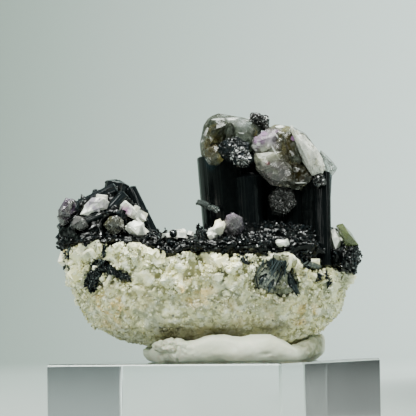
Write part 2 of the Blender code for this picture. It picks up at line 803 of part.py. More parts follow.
def make_pieces(helpers):
    """Every crystal that keeps its own shape, those that cut their neighbours first."""

    def prisms(rows, turn=0.3):
        return [prism_bmesh(*row, turn=turn * n) for n, row in enumerate(rows)]

    pieces = [
        Piece("schorl_tower", "schorl", prisms(TOWER_PRISMS), helpers),
        Piece("schorl_lath_free", "schorl", prisms((FREE_LATH,)), helpers),
        Piece("schorl_knob_top", "schorl", prisms(TOP_KNOB), helpers),
        Piece(
            "schorl_druse_front",
            "schorl",
            [lump_bmesh(centre, sizes, n, 20) for n, (centre, sizes) in enumerate(FRONT_DRUSE)],
            helpers,
        ),
        Piece("schorl_druse_right", "schorl", [lump_bmesh(*RIGHT_DRUSE[0], 7, 18)], helpers),
    ]
    for name, needles in ROCK_TUFTS.items():
        look = "schorl" if name == "schorl_tuft" else "tourmaline_blue"
        pieces.append(Piece(name, look, tuft_bmeshes(needles), helpers))
    for name, blocks in FELDSPARS.items():
        rng = random.Random(name)
        parts = [crystal_bmesh(*block, rng) for block in blocks]
        pieces.append(Piece(name, "feldspar_white", parts, helpers))
    for name, row in TOWER_SIDE_CRYSTALS.items():
        pieces.append(Piece(name, "fluorite", [prism_bmesh(*row)], helpers))
    for name, blocks in FLUORITES.items():
        rng = random.Random(name)
        parts = [crystal_bmesh(*block, rng) for block in blocks]
        pieces.append(Piece(name, "fluorite", parts, helpers))
    for name, (outline, stand) in POCKET_OUTLINES.items():
        pieces.append(Piece(name, "fluorite", [pocket_bmesh(outline, *stand)], helpers))
    return pieces


def make_crust(pieces, specimen, helpers):
    """The black crust: a band, a mound and the tower's base, with laths and small crystals, in one solid."""
    obj = object_from("schorl_crust", boxy_mass_bmesh(CRUST_BAND, 3, CRUST_ROUGHNESS, CRUST_SEED), specimen)
    obj.data.materials.append(material("schorl"))
    masses = [
        boxy_mass_bmesh(mass, 2, CRUST_ROUGHNESS, CRUST_SEED + 20 * n)
        for n, mass in enumerate((CRUST_MOUND, CRUST_TOWER_BASE, CRUST_END_LOBE), 1)
    ]
    laths = [prism_bmesh(*row, turn=0.5 * n) for n, row in enumerate(MOUND_LATHS)]
    bits = [
        object_from(f"crust_bit_{n}", bm, helpers, True)
        for n, bm in enumerate(masses + laths + crust_crystals())
    ]
    boolean(obj, "UNION", bits, "crust_fuse")
    obj.modifiers.new("crust_thinning", "DECIMATE").ratio = CRUST_KEPT
    sockets = [socket for piece in pieces for socket in piece.sockets]
    boolean(obj, "DIFFERENCE", sockets, "crust_sockets")
    below = contact_cutter("below_contact", helpers, TOUCH_GAP, -25.0)
    boolean(obj, "DIFFERENCE", [below], "crust_floor")
    settle(obj)
    return obj


def make_rock(pieces, specimen, helpers):
    """The pale rock, cut off where the crust begins."""
    obj = object_from("feldspar_matrix", rock_bmesh(3, 1.0, ROCK_STAND_OFF), specimen)
    obj.data.materials.append(material("feldspar"))
    lumps = [object_from(f"rock_lump_{n}", bm, helpers, True) for n, bm in enumerate(rock_lumps())]
    boolean(obj, "UNION", lumps, "rock_fuse")
    obj.modifiers.new("rock_thinning", "DECIMATE").ratio = ROCK_KEPT
    sockets = [socket for piece in pieces for socket in piece.sockets if boxes_meet(obj, socket)]
    boolean(obj, "DIFFERENCE", sockets, "rock_sockets")
    above = contact_cutter("above_contact", helpers, 0.0, 25.0)
    boolean(obj, "DIFFERENCE", [above], "rock_top")
    settle(obj)
    return obj


def putty_rim(around):
    """Height of the putty's rim above the block in a direction."""
    degrees = math.degrees(around)
    low = PUTTY_RIM[0]
    for high in PUTTY_RIM[1:]:
        if degrees <= high[0]:
            break
        low = high
    share = (degrees - low[0]) / (high[0] - low[0])
    return low[1] + (high[1] - low[1]) * share


def make_putty(specimen, helpers):
    """A pressed pad of putty, dented by the rock that sits in it."""
    bm = bmesh.new()
    bmesh.ops.create_icosphere(bm, subdivisions=4, radius=1)
    for vert in bm.verts:
        direction = vert.co.normalized()
        around = math.atan2(direction.y, direction.x)
        level = math.hypot(direction.x, direction.y)
        size = (level**4 + abs(direction.z) ** 4) ** (-1 / 4)
        edge = 1 + 0.03 * math.sin(3 * around + 1.0) + 0.02 * math.sin(5 * around)
        wave = 0.4 * noise.noise(Vector((direction.x * 3, direction.y * 3, PUTTY_SEED)))
        height = (putty_rim(around) + wave) * (0.45 + 0.6 * direction.z * size)
        vert.co = Vector(
            (
                PUTTY_CENTRE[0] + PUTTY_HALF_SIZE[0] * direction.x * size * edge,
                PUTTY_CENTRE[1] + PUTTY_HALF_SIZE[1] * direction.y * size * edge,
                BLOCK_HEIGHT + TOUCH_GAP + max(0.0, height),
            )
        )
    obj = object_from("mounting_putty", bm, specimen, leaning=False)
    obj.data.materials.append(material("putty"))
    seat = object_from("putty_seat", rock_bmesh(3, 0.0, PUTTY_STAND_OFF), helpers, True)
    boolean(obj, "DIFFERENCE", [seat], "putty_seat")
    settle(obj)
    return obj


def make_block(specimen):
    """The clear block that carries the specimen."""
    bm = bmesh.new()
    bmesh.ops.create_cube(bm, size=1)
    bmesh.ops.scale(bm, vec=(BLOCK_SIDE, BLOCK_SIDE, BLOCK_HEIGHT), verts=bm.verts)
    bmesh.ops.translate(bm, vec=(0, 0, BLOCK_HEIGHT / 2), verts=bm.verts)
    obj = object_from("display_block", bm, specimen, leaning=False)
    obj.data.materials.append(material("acrylic"))
    obj.rotation_euler.z = BLOCK_TURN
    bevel = obj.modifiers.new("edges", "BEVEL")
    bevel.width = BLOCK_EDGE_BEVEL * MM
    bevel.segments = 2
    return obj


def main():
    clear_scene()
    specimen = new_collection("fluorite_with_schorl")
    helpers = new_collection("helpers")
    pieces = make_pieces(helpers)
    for n, piece in enumerate(pieces):
        make_node(piece, pieces[:n], specimen)
    make_crust(pieces, specimen, helpers)
    make_rock(pieces, specimen, helpers)
    make_putty(specimen, helpers)
    make_block(specimen)


main()
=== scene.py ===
"""The looks of a fluorite with schorl specimen on its clear display block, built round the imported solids.

Shapes are worked out in millimetres and turned into metres when a piece is made. A viewer looks along +Y.
"""

import math

import bmesh
import bpy
import numpy as np
from mathutils import Matrix, Quaternion, Vector, noise
from mathutils.bvhtree import BVHTree


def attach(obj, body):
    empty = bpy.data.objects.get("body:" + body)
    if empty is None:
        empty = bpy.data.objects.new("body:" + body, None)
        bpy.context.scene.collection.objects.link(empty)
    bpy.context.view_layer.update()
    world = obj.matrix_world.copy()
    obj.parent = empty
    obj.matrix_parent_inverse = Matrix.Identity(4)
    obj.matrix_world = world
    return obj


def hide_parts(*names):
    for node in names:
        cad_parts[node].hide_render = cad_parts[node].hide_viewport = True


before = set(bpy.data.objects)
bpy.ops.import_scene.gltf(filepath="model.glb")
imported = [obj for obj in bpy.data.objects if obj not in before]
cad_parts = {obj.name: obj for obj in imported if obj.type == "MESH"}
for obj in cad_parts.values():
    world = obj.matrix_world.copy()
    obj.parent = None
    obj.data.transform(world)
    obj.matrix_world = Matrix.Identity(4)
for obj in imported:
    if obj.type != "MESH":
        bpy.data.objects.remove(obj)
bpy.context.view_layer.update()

MM = 0.001
BODY = "root"

# The photograph's view: the eye and what it looks at, the picture's width there, and its tilt
EYE = Vector((-1.12, -400.0, 27.0))
TARGET = Vector((-1.12, 0.0, 44.96))
PICTURE_WIDTH = 66.56
ROLL = math.radians(0.85)
SENSOR = 36.0

BLOCK_TOP = 20.5

# Where the rock's blocky upper part ends and its sugary lower part begins
SUGARY_BELOW = 31.0

# Schorl prisms: foot, tip, radius at foot, radius at tip
TOWER_PRISMS = (
    ((3.5, 0.4, 38.0), (2.3, 0.4, 53.4), 5.0, 5.1),
    ((9.8, 1.6, 38.0), (9.8, 1.6, 52.2), 4.8, 4.8),
    ((15.3, -3.0, 37.4), (15.5, -3.0, 50.0), 2.5, 3.0),
    ((14.2, 2.4, 38.0), (14.8, 2.4, 50.4), 3.6, 3.8),
    ((5.9, -3.9, 38.0), (5.3, -3.9, 49.6), 2.3, 2.5),
    ((17.0, -7.6, 35.4), (16.9, -4.4, 50.2), 1.25, 1.45),
    ((12.4, -5.0, 37.6), (12.6, -3.8, 48.4), 1.5, 1.5),
)
MOUND_LATHS = (
    ((-17.3, 0.0, 41.0), (-15.6, 0.3, 48.9), 2.0, 1.9),
    ((-23.6, -2.6, 44.0), (-15.8, -2.6, 47.9), 0.95, 0.95),
    ((-19.0, -6.7, 41.4), (-14.3, -4.9, 46.8), 0.85, 0.9),
    ((-24.2, -1.2, 41.0), (-22.9, -0.8, 46.2), 0.8, 0.7),
    ((-20.5, 3.6, 41.0), (-18.8, 5.6, 47.8), 1.2, 1.1),
    ((-13.4, 4.4, 40.0), (-14.4, 6.8, 46.4), 1.0, 1.0),
    ((-22.4, -6.2, 41.8), (-17.8, -7.4, 43.9), 0.7, 0.75),
    ((-16.9, -7.9, 40.2), (-13.7, -6.0, 45.0), 0.6, 0.7),
)
# How high the ridges of each tower prism stand
TOWER_RELIEFS = (0.012, 0.012, 0.018, 0.016, 0.012, 0.010, 0.018)
# The blunt end of the prism that points at the viewer
PITTED_PRISM = ((10.6, 0.0, 45.4), (10.6, -6.4, 45.9), 2.5, 2.35)
# The middle of the small sparkling ball on the tower's front
SMALL_BALL = Vector((4.2, -7.0, 52.6))
SMALL_BALL_REACH = 1.7
# The ball's shares of black, bright and glinting faces
SMALL_BALL_SHARES = (0.42, 0.46, 0.12)
FREE_LATH = ((-8.8, -0.6, 38.4), (-13.5, -0.6, 48.1), 0.95, 0.85)
# Small black balls on the saddle's white grains: place in the picture, depth, radius
SADDLE_BALLS = (
    (-6.6, 40.9, -8.7, 0.62),
    (-5.1, 40.2, -8.6, 0.36),
    (-4.4, 40.7, -8.0, 0.34),
    (-3.9, 40.2, -8.4, 0.42),
    (-7.7, 40.0, -8.6, 0.3),
)
# How much lower the putty's front crest lies than the CAD pad's, at places across it
CREST_DROPS = (
    (-6.0, -3.5, 1.1, 3.6, 6.5, 8.2, 10.2, 12.4, 14.5),
    (0.0, 0.3, 0.2, 0.7, 0.6, 0.3, 0.9, 1.2, 0.0),
)
# White grains on the saddle, seen from the front: place, half sizes
SADDLE_GRAINS = (
    ((-7.9, 40.6), (0.62, 0.4, 0.36)),
    ((-5.2, 40.6), (0.75, 0.4, 0.42)),
    ((-3.9, 40.9), (0.5, 0.4, 0.34)),
    ((-6.5, 40.3), (0.5, 0.35, 0.24)),
)
# Dark veins in the rock's face, seen from the front: places along the vein, half width
ROCK_VEINS = (
    (((-17.6, 39.0), (-17.9, 37.4), (-18.1, 36.0)), 0.26),
    (((-18.1, 35.8), (-18.9, 34.6), (-19.6, 33.4)), 0.7),
    (((-19.6, 34.6), (-18.4, 34.3), (-19.4, 33.6)), 0.95),
    (((-17.4, 35.0), (-15.6, 34.5), (-13.8, 33.9)), 0.45),
    (((-20.6, 32.9), (-19.4, 31.9)), 0.5),
    (((-23.9, 39.0), (-23.7, 37.4), (-23.5, 35.4)), 0.42),
    (((4.0, 37.2), (5.3, 36.2)), 0.45),
    (((14.2, 36.9), (15.0, 36.0)), 0.5),
    (((17.8, 34.7), (18.2, 32.4)), 0.3),
    (((17.0, 34.2), (16.4, 33.2)), 0.25),
)
# Pinched folds at the putty's left end, seen from the front: place, depth, radii
PUTTY_FOLDS = (
    (-8.4, 22.9, -7.4, (1.5, 1.2, 0.9)),
    (-7.1, 23.4, -8.2, (1.2, 1.2, 0.75)),
    (-5.9, 23.4, -8.8, (1.0, 1.1, 0.7)),
    (-7.3, 22.5, -8.9, (1.1, 1.0, 0.6)),
    (-4.9, 22.9, -9.3, (1.2, 1.0, 0.8)),
)
# The putty's uneven surface: how high each sort of bump is, and how many of it go to a millimetre
PUTTY_SWELLS = ((0.2, 0.33), (0.07, 0.8), (0.05, 2.6))
# The rough lobe at the putty's right end, which the putty's colour darkens as painted shade
ROUGH_SHADED_LOBE = Vector((16.6, -4.6, 24.2))
# The mound lies to the left of MOUND_RIGHT and above MOUND_FOOT, and bears only a share of the crust's grains
MOUND_RIGHT, MOUND_FOOT, MOUND_GRAINS = -11.0, 40.5, 0.14
# The mound's small laths lie between these heights, and this many of them at most
MOUND_LATH_LOW, MOUND_LATH_HIGH, MOUND_LATH_COUNT = 41.5, 45.8, 74
# The crust's low, pale part: its middle, how far it reaches to both sides, and its lowest place
SADDLE_MIDDLE, SADDLE_REACH, SADDLE_FOOT = -5.9, 2.9, 39.3
# What is set in the rock's face, so that the rock keeps clear of it
SET_IN_ROCK = ("schorl_tuft", "tourmaline_needles", "fluorite_pocket", "fluorite_lens")
# Clear materials: colour, roughness and its cloudy value, transmission, zones, broken, flecks, mirror
FLUORITE_LOOKS = {
    "fluorite": ((0.50, 0.53, 0.50), 0.04, 0.2, 0.9),
    "fluorite_frosted": ((0.30, 0.315, 0.28), 0.3, 0.0, 0.7),
    "fluorite_smoky": ((0.13, 0.155, 0.145), 0.12, 0.3, 0.6),
    "fluorite_green": ((0.15, 0.18, 0.085), 0.08, 0.25, 0.6),
    "fluorite_grey_green": ((0.15, 0.165, 0.13), 0.05, 0.25, 0.6, (
        ((0.4, -4.0, 57.2), 4.4, (0.022, 0.024, 0.012)),
        ((-0.9, -4.0, 54.2), 3.0, (0.09, 0.065, 0.018)),
        ((6.2, -3.0, 57.6), 2.6, (0.055, 0.06, 0.05)),
        ((4.2, -4.0, 58.0), 1.8, (0.34, 0.37, 0.36)),
        ((1.4, -5.0, 52.8), 1.4, (0.50, 0.42, 0.16)),
    ), 0.6, 0.15, 0.22),
    "fluorite_olive_lilac": ((0.15, 0.155, 0.125), 0.05, 0.25, 0.55, (
        ((11.3, -6.0, 54.6), 4.6, (0.040, 0.034, 0.010)),
        ((13.4, -6.0, 50.6), 5.0, (0.016, 0.013, 0.004)),
        ((10.8, -3.0, 57.8), 2.2, (0.26, 0.24, 0.11)),
        ((7.6, -7.0, 55.4), 3.0, (0.42, 0.36, 0.42)),
        ((8.0, -7.6, 53.0), 2.4, (0.42, 0.43, 0.31)),
        ((6.8, -7.2, 55.2), 1.3, (0.24, 0.10, 0.26)),
        ((9.0, -7.8, 50.0), 3.0, (0.13, 0.118, 0.118)),
        ((8.2, -8.2, 51.6), 0.5, (0.15, 0.008, 0.025)),
    ), 0.8, 0.24, 0.22),
    "fluorite_mound": ((0.13, 0.13, 0.125), 0.03, 0.15, 0.6, (
        ((-22.6, -4.0, 45.0), 3.0, (0.16, 0.11, 0.18)),
        ((-21.0, -7.0, 42.6), 2.6, (0.17, 0.165, 0.16)),
        ((-16.0, -8.0, 42.2), 2.2, (0.12, 0.115, 0.05)),
    ), 1.0, 0.65),
    "fluorite_lilac": ((0.17, 0.155, 0.165), 0.06, 0.2, 0.55, (
        ((2.2, -10.0, 43.2), 1.6, (0.30, 0.24, 0.31)),
        ((3.8, -10.0, 41.6), 1.8, (0.10, 0.09, 0.115)),
    ), 1.0, 0.35),
    "fluorite_pocket_olive": ((0.30, 0.32, 0.23), 0.1, 0.3, 0.4, (
        ((8.0, -12.0, 33.0), 2.4, (0.46, 0.50, 0.44)),
        ((10.5, -12.0, 32.0), 2.2, (0.16, 0.17, 0.09)),
    ), 0.8, 0.5),
}
# The material of each crystal, and where there are two, the one that a share of its faces has
CRYSTAL_LOOKS = {
    "fluorite_top_left": ("fluorite_grey_green",),
    "fluorite_top_right": ("fluorite_olive_lilac",),
    "fluorite_crust_front": ("fluorite_lilac",),
    "fluorite_mound_left": ("fluorite_mound", "fluorite_lilac"),
    "fluorite_mound_front": ("fluorite_mound",),
    "fluorite_mound_centre": ("fluorite_mound",),
    "fluorite_pocket": ("fluorite_pocket_olive",),
    "fluorite_lens": ("fluorite_smoky",),
    "fluorite_end_right": ("fluorite_green",),
}
OTHER_CRYSTALS = ("fluorite", "fluorite_frosted")
SECOND_SHARE = 0.3
# Takes a place that was read off the photograph, which is tilted a little, to the specimen as it stands
LEAN = Matrix.Translation(TARGET) @ Matrix.Rotation(ROLL, 4, "Y") @ Matrix.Translation(-TARGET)

CUBE = np.array([[x, y, z] for x in (-1, 1) for y in (-1, 1) for z in (-1, 1)], float)
CUBE_FACES = np.array(
    ((0, 1, 3, 2), (4, 6, 7, 5), (0, 4, 5, 1), (2, 3, 7, 6), (0, 2, 6, 4), (1, 5, 7, 3))
)


# Mesh building


def link_object(name, data):
    obj = bpy.data.objects.new(name, data)
    bpy.context.scene.collection.objects.link(obj)
    return obj


class Form:
    """Closed shells gathered into one mesh, in millimetres, with a tint and a smooth flag for each face."""

    def __init__(self):
        self.points = []
        self.faces = []
        self.tints = []
        self.smooth = []
        self.count = 0

    def add(self, points, face_rows, tint=0.5, smooth=False):
        """face_rows holds arrays with one row a face, and tint is one number or one for each face."""
        points = np.asarray(points, float)
        for rows in face_rows:
            rows = np.asarray(rows, int)
            self.faces.append(rows + self.count)
            self.smooth.append(np.full(len(rows), smooth))
        total = sum(len(rows) for rows in face_rows)
        self.tints.append(np.broadcast_to(np.asarray(tint, float), total))
        self.points.append(points)
        self.count += len(points)

    def to_piece(self, name, look, slot, *nodes):
        mesh = bpy.data.meshes.new(name)
        points = np.concatenate(self.points) * MM
        sizes = np.concatenate([np.full(len(rows), rows.shape[1]) for rows in self.faces])
        corners = np.concatenate([rows.ravel() for rows in self.faces])
        mesh.vertices.add(len(points))
        mesh.vertices.foreach_set("co", points.ravel())
        mesh.loops.add(len(corners))
        mesh.loops.foreach_set("vertex_index", corners)
        mesh.polygons.add(len(sizes))
        mesh.polygons.foreach_set("loop_start", np.concatenate([[0], np.cumsum(sizes)[:-1]]))
        mesh.polygons.foreach_set("use_smooth", np.concatenate(self.smooth))
        mesh.update(calc_edges=True)
        tint = mesh.attributes.new("tint", "FLOAT", "FACE")
        tint.data.foreach_set("value", np.concatenate(self.tints))
        obj = link_object(name, mesh)
        mesh.materials.append(look)
        return place_piece(obj, slot, *nodes)


def place_piece(obj, slot, *nodes):
    """The object rides on the specimen's one body, and stands for the CAD nodes that are named."""
    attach(obj, BODY)
    if nodes:
        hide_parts(*nodes)
    return obj


def read_rows(items, name, kind=float):
    """A property with three values of each item, as one row an item."""
    values = np.empty(len(items) * 3, kind)
    items.foreach_get(name, values)
    return values.reshape(-1, 3)


def cad_arrays(node):
    """A CAD node's points, in millimetres, and its triangles."""
    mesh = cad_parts[node].data
    mesh.calc_loop_triangles()
    return read_rows(mesh.vertices, "co") / MM, read_rows(mesh.loop_triangles, "vertices", int)


def tree_of(nodes):
    """A search tree of CAD nodes, in millimetres."""
    all_points, all_triangles = [], []
    for node in nodes:
        points, triangles = cad_arrays(node)
        all_triangles += (triangles + len(all_points)).tolist()
        all_points += [Vector(p) for p in points]
    return BVHTree.FromPolygons(all_points, all_triangles)


def clear_of(tree, places, spaces):
    """Which places stand at least a space, or each its own space, away from a tree's surface."""
    spaces = np.broadcast_to(spaces, len(places))
    near = (tree.find_nearest(Vector(p), float(space))[0] for p, space in zip(places, spaces))
    return np.array([place is None for place in near])


def evaluated_arrays(obj):
    """Points, quads or triangles, and normals of an object with its modifiers; the object is then removed."""
    bpy.context.view_layer.update()
    graph = bpy.context.evaluated_depsgraph_get()
    mesh = bpy.data.meshes.new_from_object(obj.evaluated_get(graph))
    points, normals = read_rows(mesh.vertices, "co"), read_rows(mesh.vertices, "normal")
    faces = [tuple(face.vertices) for face in mesh.polygons]
    bpy.data.objects.remove(obj)
    rows = [np.array([face for face in faces if len(face) == n], int).reshape(-1, n) for n in (4, 3)]
    return points, [part for part in rows if len(part)], normals


def object_of(points, faces):
    mesh = bpy.data.meshes.new("working")
    mesh.from_pydata([tuple(p) for p in points], [], [tuple(face) for face in faces])
    return link_object("working", mesh)


def remeshed(node, voxel, smoothing=0):
    """A CAD node's form with an even net of small faces."""
    obj = object_of(*cad_arrays(node))
    remesh = obj.modifiers.new("voxels", "REMESH")
    remesh.mode = "VOXEL"
    remesh.voxel_size = voxel
    if smoothing:
        smooth = obj.modifiers.new("smooth", "SMOOTH")
        smooth.factor = 0.5
        smooth.iterations = smoothing
    return evaluated_arrays(obj)


def behind(points, nodes, gap, most):
    """Points that hide the named nodes from the front, by most or less, moved to a gap behind their faces."""
    tree = tree_of(nodes)
    moved = points.copy()
    for n, point in enumerate(points):
        line = Vector(point) - EYE
        sight = line.normalized()
        distance = tree.ray_cast(EYE, sight)[3]
        if distance is not None and -gap < distance - line.length < most:
            moved[n] = EYE + sight * (distance + gap)
    return moved


def in_front_of(places, sizes, nodes, most):
    """Which places hide the named nodes from the front, from less than most away."""
    tree = tree_of(nodes)
    sunk = 0.6

    def hides(x, y, z):
        line = Vector((x, y, z)) - EYE
        distance = tree.ray_cast(EYE, line.normalized())[3]
        return distance is not None and -sunk < distance - line.length < most

    around = ((0, 0), (0.7, 0), (-0.7, 0), (0, 0.7), (0, -0.7))
    return np.array([
        any(hides(x + across * size, y, z + up * size) for across, up in around)
        for (x, y, z), size in zip(places, sizes)
    ])


def surface_places(node, count, rng, reach):
    """Random places on a CAD node and the ways out of it there, but for those that another solid covers."""
    others = tree_of([name for name in sorted(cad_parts) if name not in (node, "display_block")])
    points, triangles = cad_arrays(node)
    corners = points[triangles]
    normals = np.cross(corners[:, 1] - corners[:, 0], corners[:, 2] - corners[:, 0])
    areas = np.linalg.norm(normals, axis=1)
    normals = normals / np.maximum(areas, 1e-9)[:, None]
    chosen = rng.choice(len(areas), count, p=areas / areas.sum())
    across, along = rng.random((2, count))
    outside = across + along > 1
    across[outside] = 1 - across[outside]
    along[outside] = 1 - along[outside]
    first, second, third = (corners[chosen, n] for n in range(3))
    places = first + across[:, None] * (second - first) + along[:, None] * (third - first)
    normals = normals[chosen]
    seen = [
        others.ray_cast(Vector(place - 0.1 * normal), Vector(normal), reach)[0] is None
        for place, normal in zip(places, normals)
    ]
    return places[seen], normals[seen]


def turns_along(axes, rng):
    """A rotation for each axis that takes +Z to it, with any spin."""
    axes = axes / np.linalg.norm(axes, axis=1)[:, None]
    side = np.cross(axes, rng.normal(size=axes.shape))
    side /= np.linalg.norm(side, axis=1)[:, None]
    third = np.cross(axes, side)
    return np.stack([side, third, axes], axis=2)


def turns_about(axes, spread, rng):
    """As turns_along, with each axis bent aside at random."""
    return turns_along(axes + spread * rng.normal(size=axes.shape), rng)


def picked(kept, *arrays):
    return [array[kept] for array in arrays]


def add_blocks(form, places, half_sizes, turns, rng, tint, uneven):
    """Split blocks with six sides, the more irregular the larger uneven is."""
    count = len(places)
    corners = CUBE[None] * half_sizes[:, None] * (1 - uneven * rng.random((count, 8, 3)))
    points = np.einsum("nij,nkj->nki", turns, corners) + places[:, None]
    faces = CUBE_FACES[None] + 8 * np.arange(count)[:, None, None]
    form.add(points.reshape(-1, 3), [faces.reshape(-1, 4)], np.repeat(tint, 6))


def add_grains(form, places, radii, lengths, axes, rng, sides=6, power=1):
    """Small prisms with a low pyramid on top, round the places; a high power makes most of them dark."""
    count = len(places)
    turns = turns_along(axes, rng)
    tint = rng.random(count) ** power
    angles = np.arange(sides) * 2 * math.pi / sides
    ring = np.stack([np.cos(angles), np.sin(angles)], axis=1)
    local = np.zeros((count, 2 * sides + 1, 3))
    taper = 1 - 0.25 * rng.random((count, 1, 1))
    local[:, :sides, :2] = ring[None] * radii[:, None, None]
    local[:, sides : 2 * sides, :2] = ring[None] * radii[:, None, None] * taper
    local[:, :sides, 2] = -lengths[:, None] / 2
    local[:, sides : 2 * sides, 2] = lengths[:, None] / 2
    local[:, 2 * sides, 2] = lengths / 2 + 0.45 * radii
    points = np.einsum("nij,nkj->nki", turns, local) + places[:, None]
    after = (np.arange(sides) + 1) % sides
    here = np.arange(sides)
    walls = np.stack([here, after, after + sides, here + sides], axis=1)
    caps = np.stack([here + sides, after + sides, np.full(sides, 2 * sides)], axis=1)
    floor = np.arange(sides)[::-1][None]
    starts = (2 * sides + 1) * np.arange(count)[:, None, None]
    rows = [(part[None] + starts).reshape(-1, part.shape[1]) for part in (walls, caps, floor)]
    form.add(points.reshape(-1, 3), rows, np.concatenate([np.repeat(tint, n) for n in (sides, sides, 1)]))


def ring_of(angles, reach, height):
    heights = np.broadcast_to(height, len(angles))
    return np.column_stack([np.cos(angles) * reach, np.sin(angles) * reach, heights])


def laid_out(prism):
    """A prism's length and radii, and the matrix that takes the origin to its foot and +Z to its axis."""
    foot, tip, foot_radius, tip_radius = prism
    foot, tip = LEAN @ Vector(foot), LEAN @ Vector(tip)
    turn = (tip - foot).to_track_quat("Z", "Y").to_matrix().to_4x4()
    return (tip - foot).length, foot_radius, tip_radius, np.array(Matrix.Translation(foot) @ turn)


def add_tube(form, rings, top, place, tint):
    """Rings joined into a closed tube, its floor's middle at the origin and its roof's at the height top."""
    around, last = len(rings[0]), len(rings) - 1
    points = np.concatenate([*rings, [[0, 0, 0], [0, 0, top]]])
    here = np.arange(around)
    after = (here + 1) % around
    wall = np.stack([here, after, after + around, here + around], axis=1)
    walls = np.concatenate([wall + around * n for n in range(last)])
    floor = np.stack([after, here, np.full(around, len(points) - 2)], axis=1)
    roof = np.stack([here + around * last, after + around * last, np.full(around, len(points) - 1)], axis=1)
    form.add(points @ place[:3, :3].T + place[:3, 3], [walls, np.concatenate([floor, roof])], tint)


def add_striated_prism(form, prism, rng, relief, around, steps, tint, back_relief=0.0):
    """A tourmaline prism: a rounded three-sided section, ridges along its length and a blunt three-faced end.

    back_relief is added to the relief on the side away from the viewer.
    """
    length, foot_radius, tip_radius, place = laid_out(prism)
    angles = np.arange(around) * 2 * math.pi / around
    section = 1 + 0.06 * np.cos(3 * angles)
    away = np.cos(angles) * place[1, 0] + np.sin(angles) * place[1, 1]
    relief = relief + back_relief * np.clip(2 * away, 0, 1)
    ridge = np.repeat(rng.normal(size=around), rng.integers(1, 4, around))[:around]
    ridge = ridge - np.roll(ridge, 3)
    rings = []
    for share in np.arange(steps + 1) / steps:
        radius = foot_radius + (tip_radius - foot_radius) * share
        wander = 0.25 * rng.normal(size=around)
        rings.append(ring_of(angles, radius * section + relief * (ridge + wander), share))
    three_faced = 0.8 + 0.2 * np.cos(3 * angles + 1.0)
    for inward, rise in ((0.93, 0.06), (0.55, 0.22), (0.12, 0.34)):
        top = rings[steps].copy()
        top[:, :2] *= inward
        top[:, 2] = 1 + rise * tip_radius * three_faced / length
        rings.append(top)
    rings = np.array(rings)
    rings[:, :, 2] *= length
    add_tube(form, rings, rings[-1, :, 2].mean(), place, tint)


def add_pitted_end(form, prism):
    """A six-sided prism whose blunt end is pitted all over."""
    around, steps = 96, 16
    length, foot_radius, tip_radius, place = laid_out(prism)
    angles = np.arange(around) * 2 * math.pi / around
    sector = math.pi / 3
    hexagon = math.cos(sector / 2) / np.cos((angles + 0.3) % sector - sector / 2)
    rings = [ring_of(angles, foot_radius * hexagon, 0.0)]
    for step in range(steps):
        ring = ring_of(angles, tip_radius * (1 - step / steps) * hexagon, length + 0.12 * min(step, 3))
        if step:
            pits = [noise.voronoi(Vector((x * 2.6, y * 2.6, 4.0)))[0][0] for x, y, _ in ring]
            ring[:, 2] += 0.16 - 0.5 * np.array(pits)
        rings.append(ring)
    add_tube(form, rings, length + 0.4, place, 0.9)


# Materials


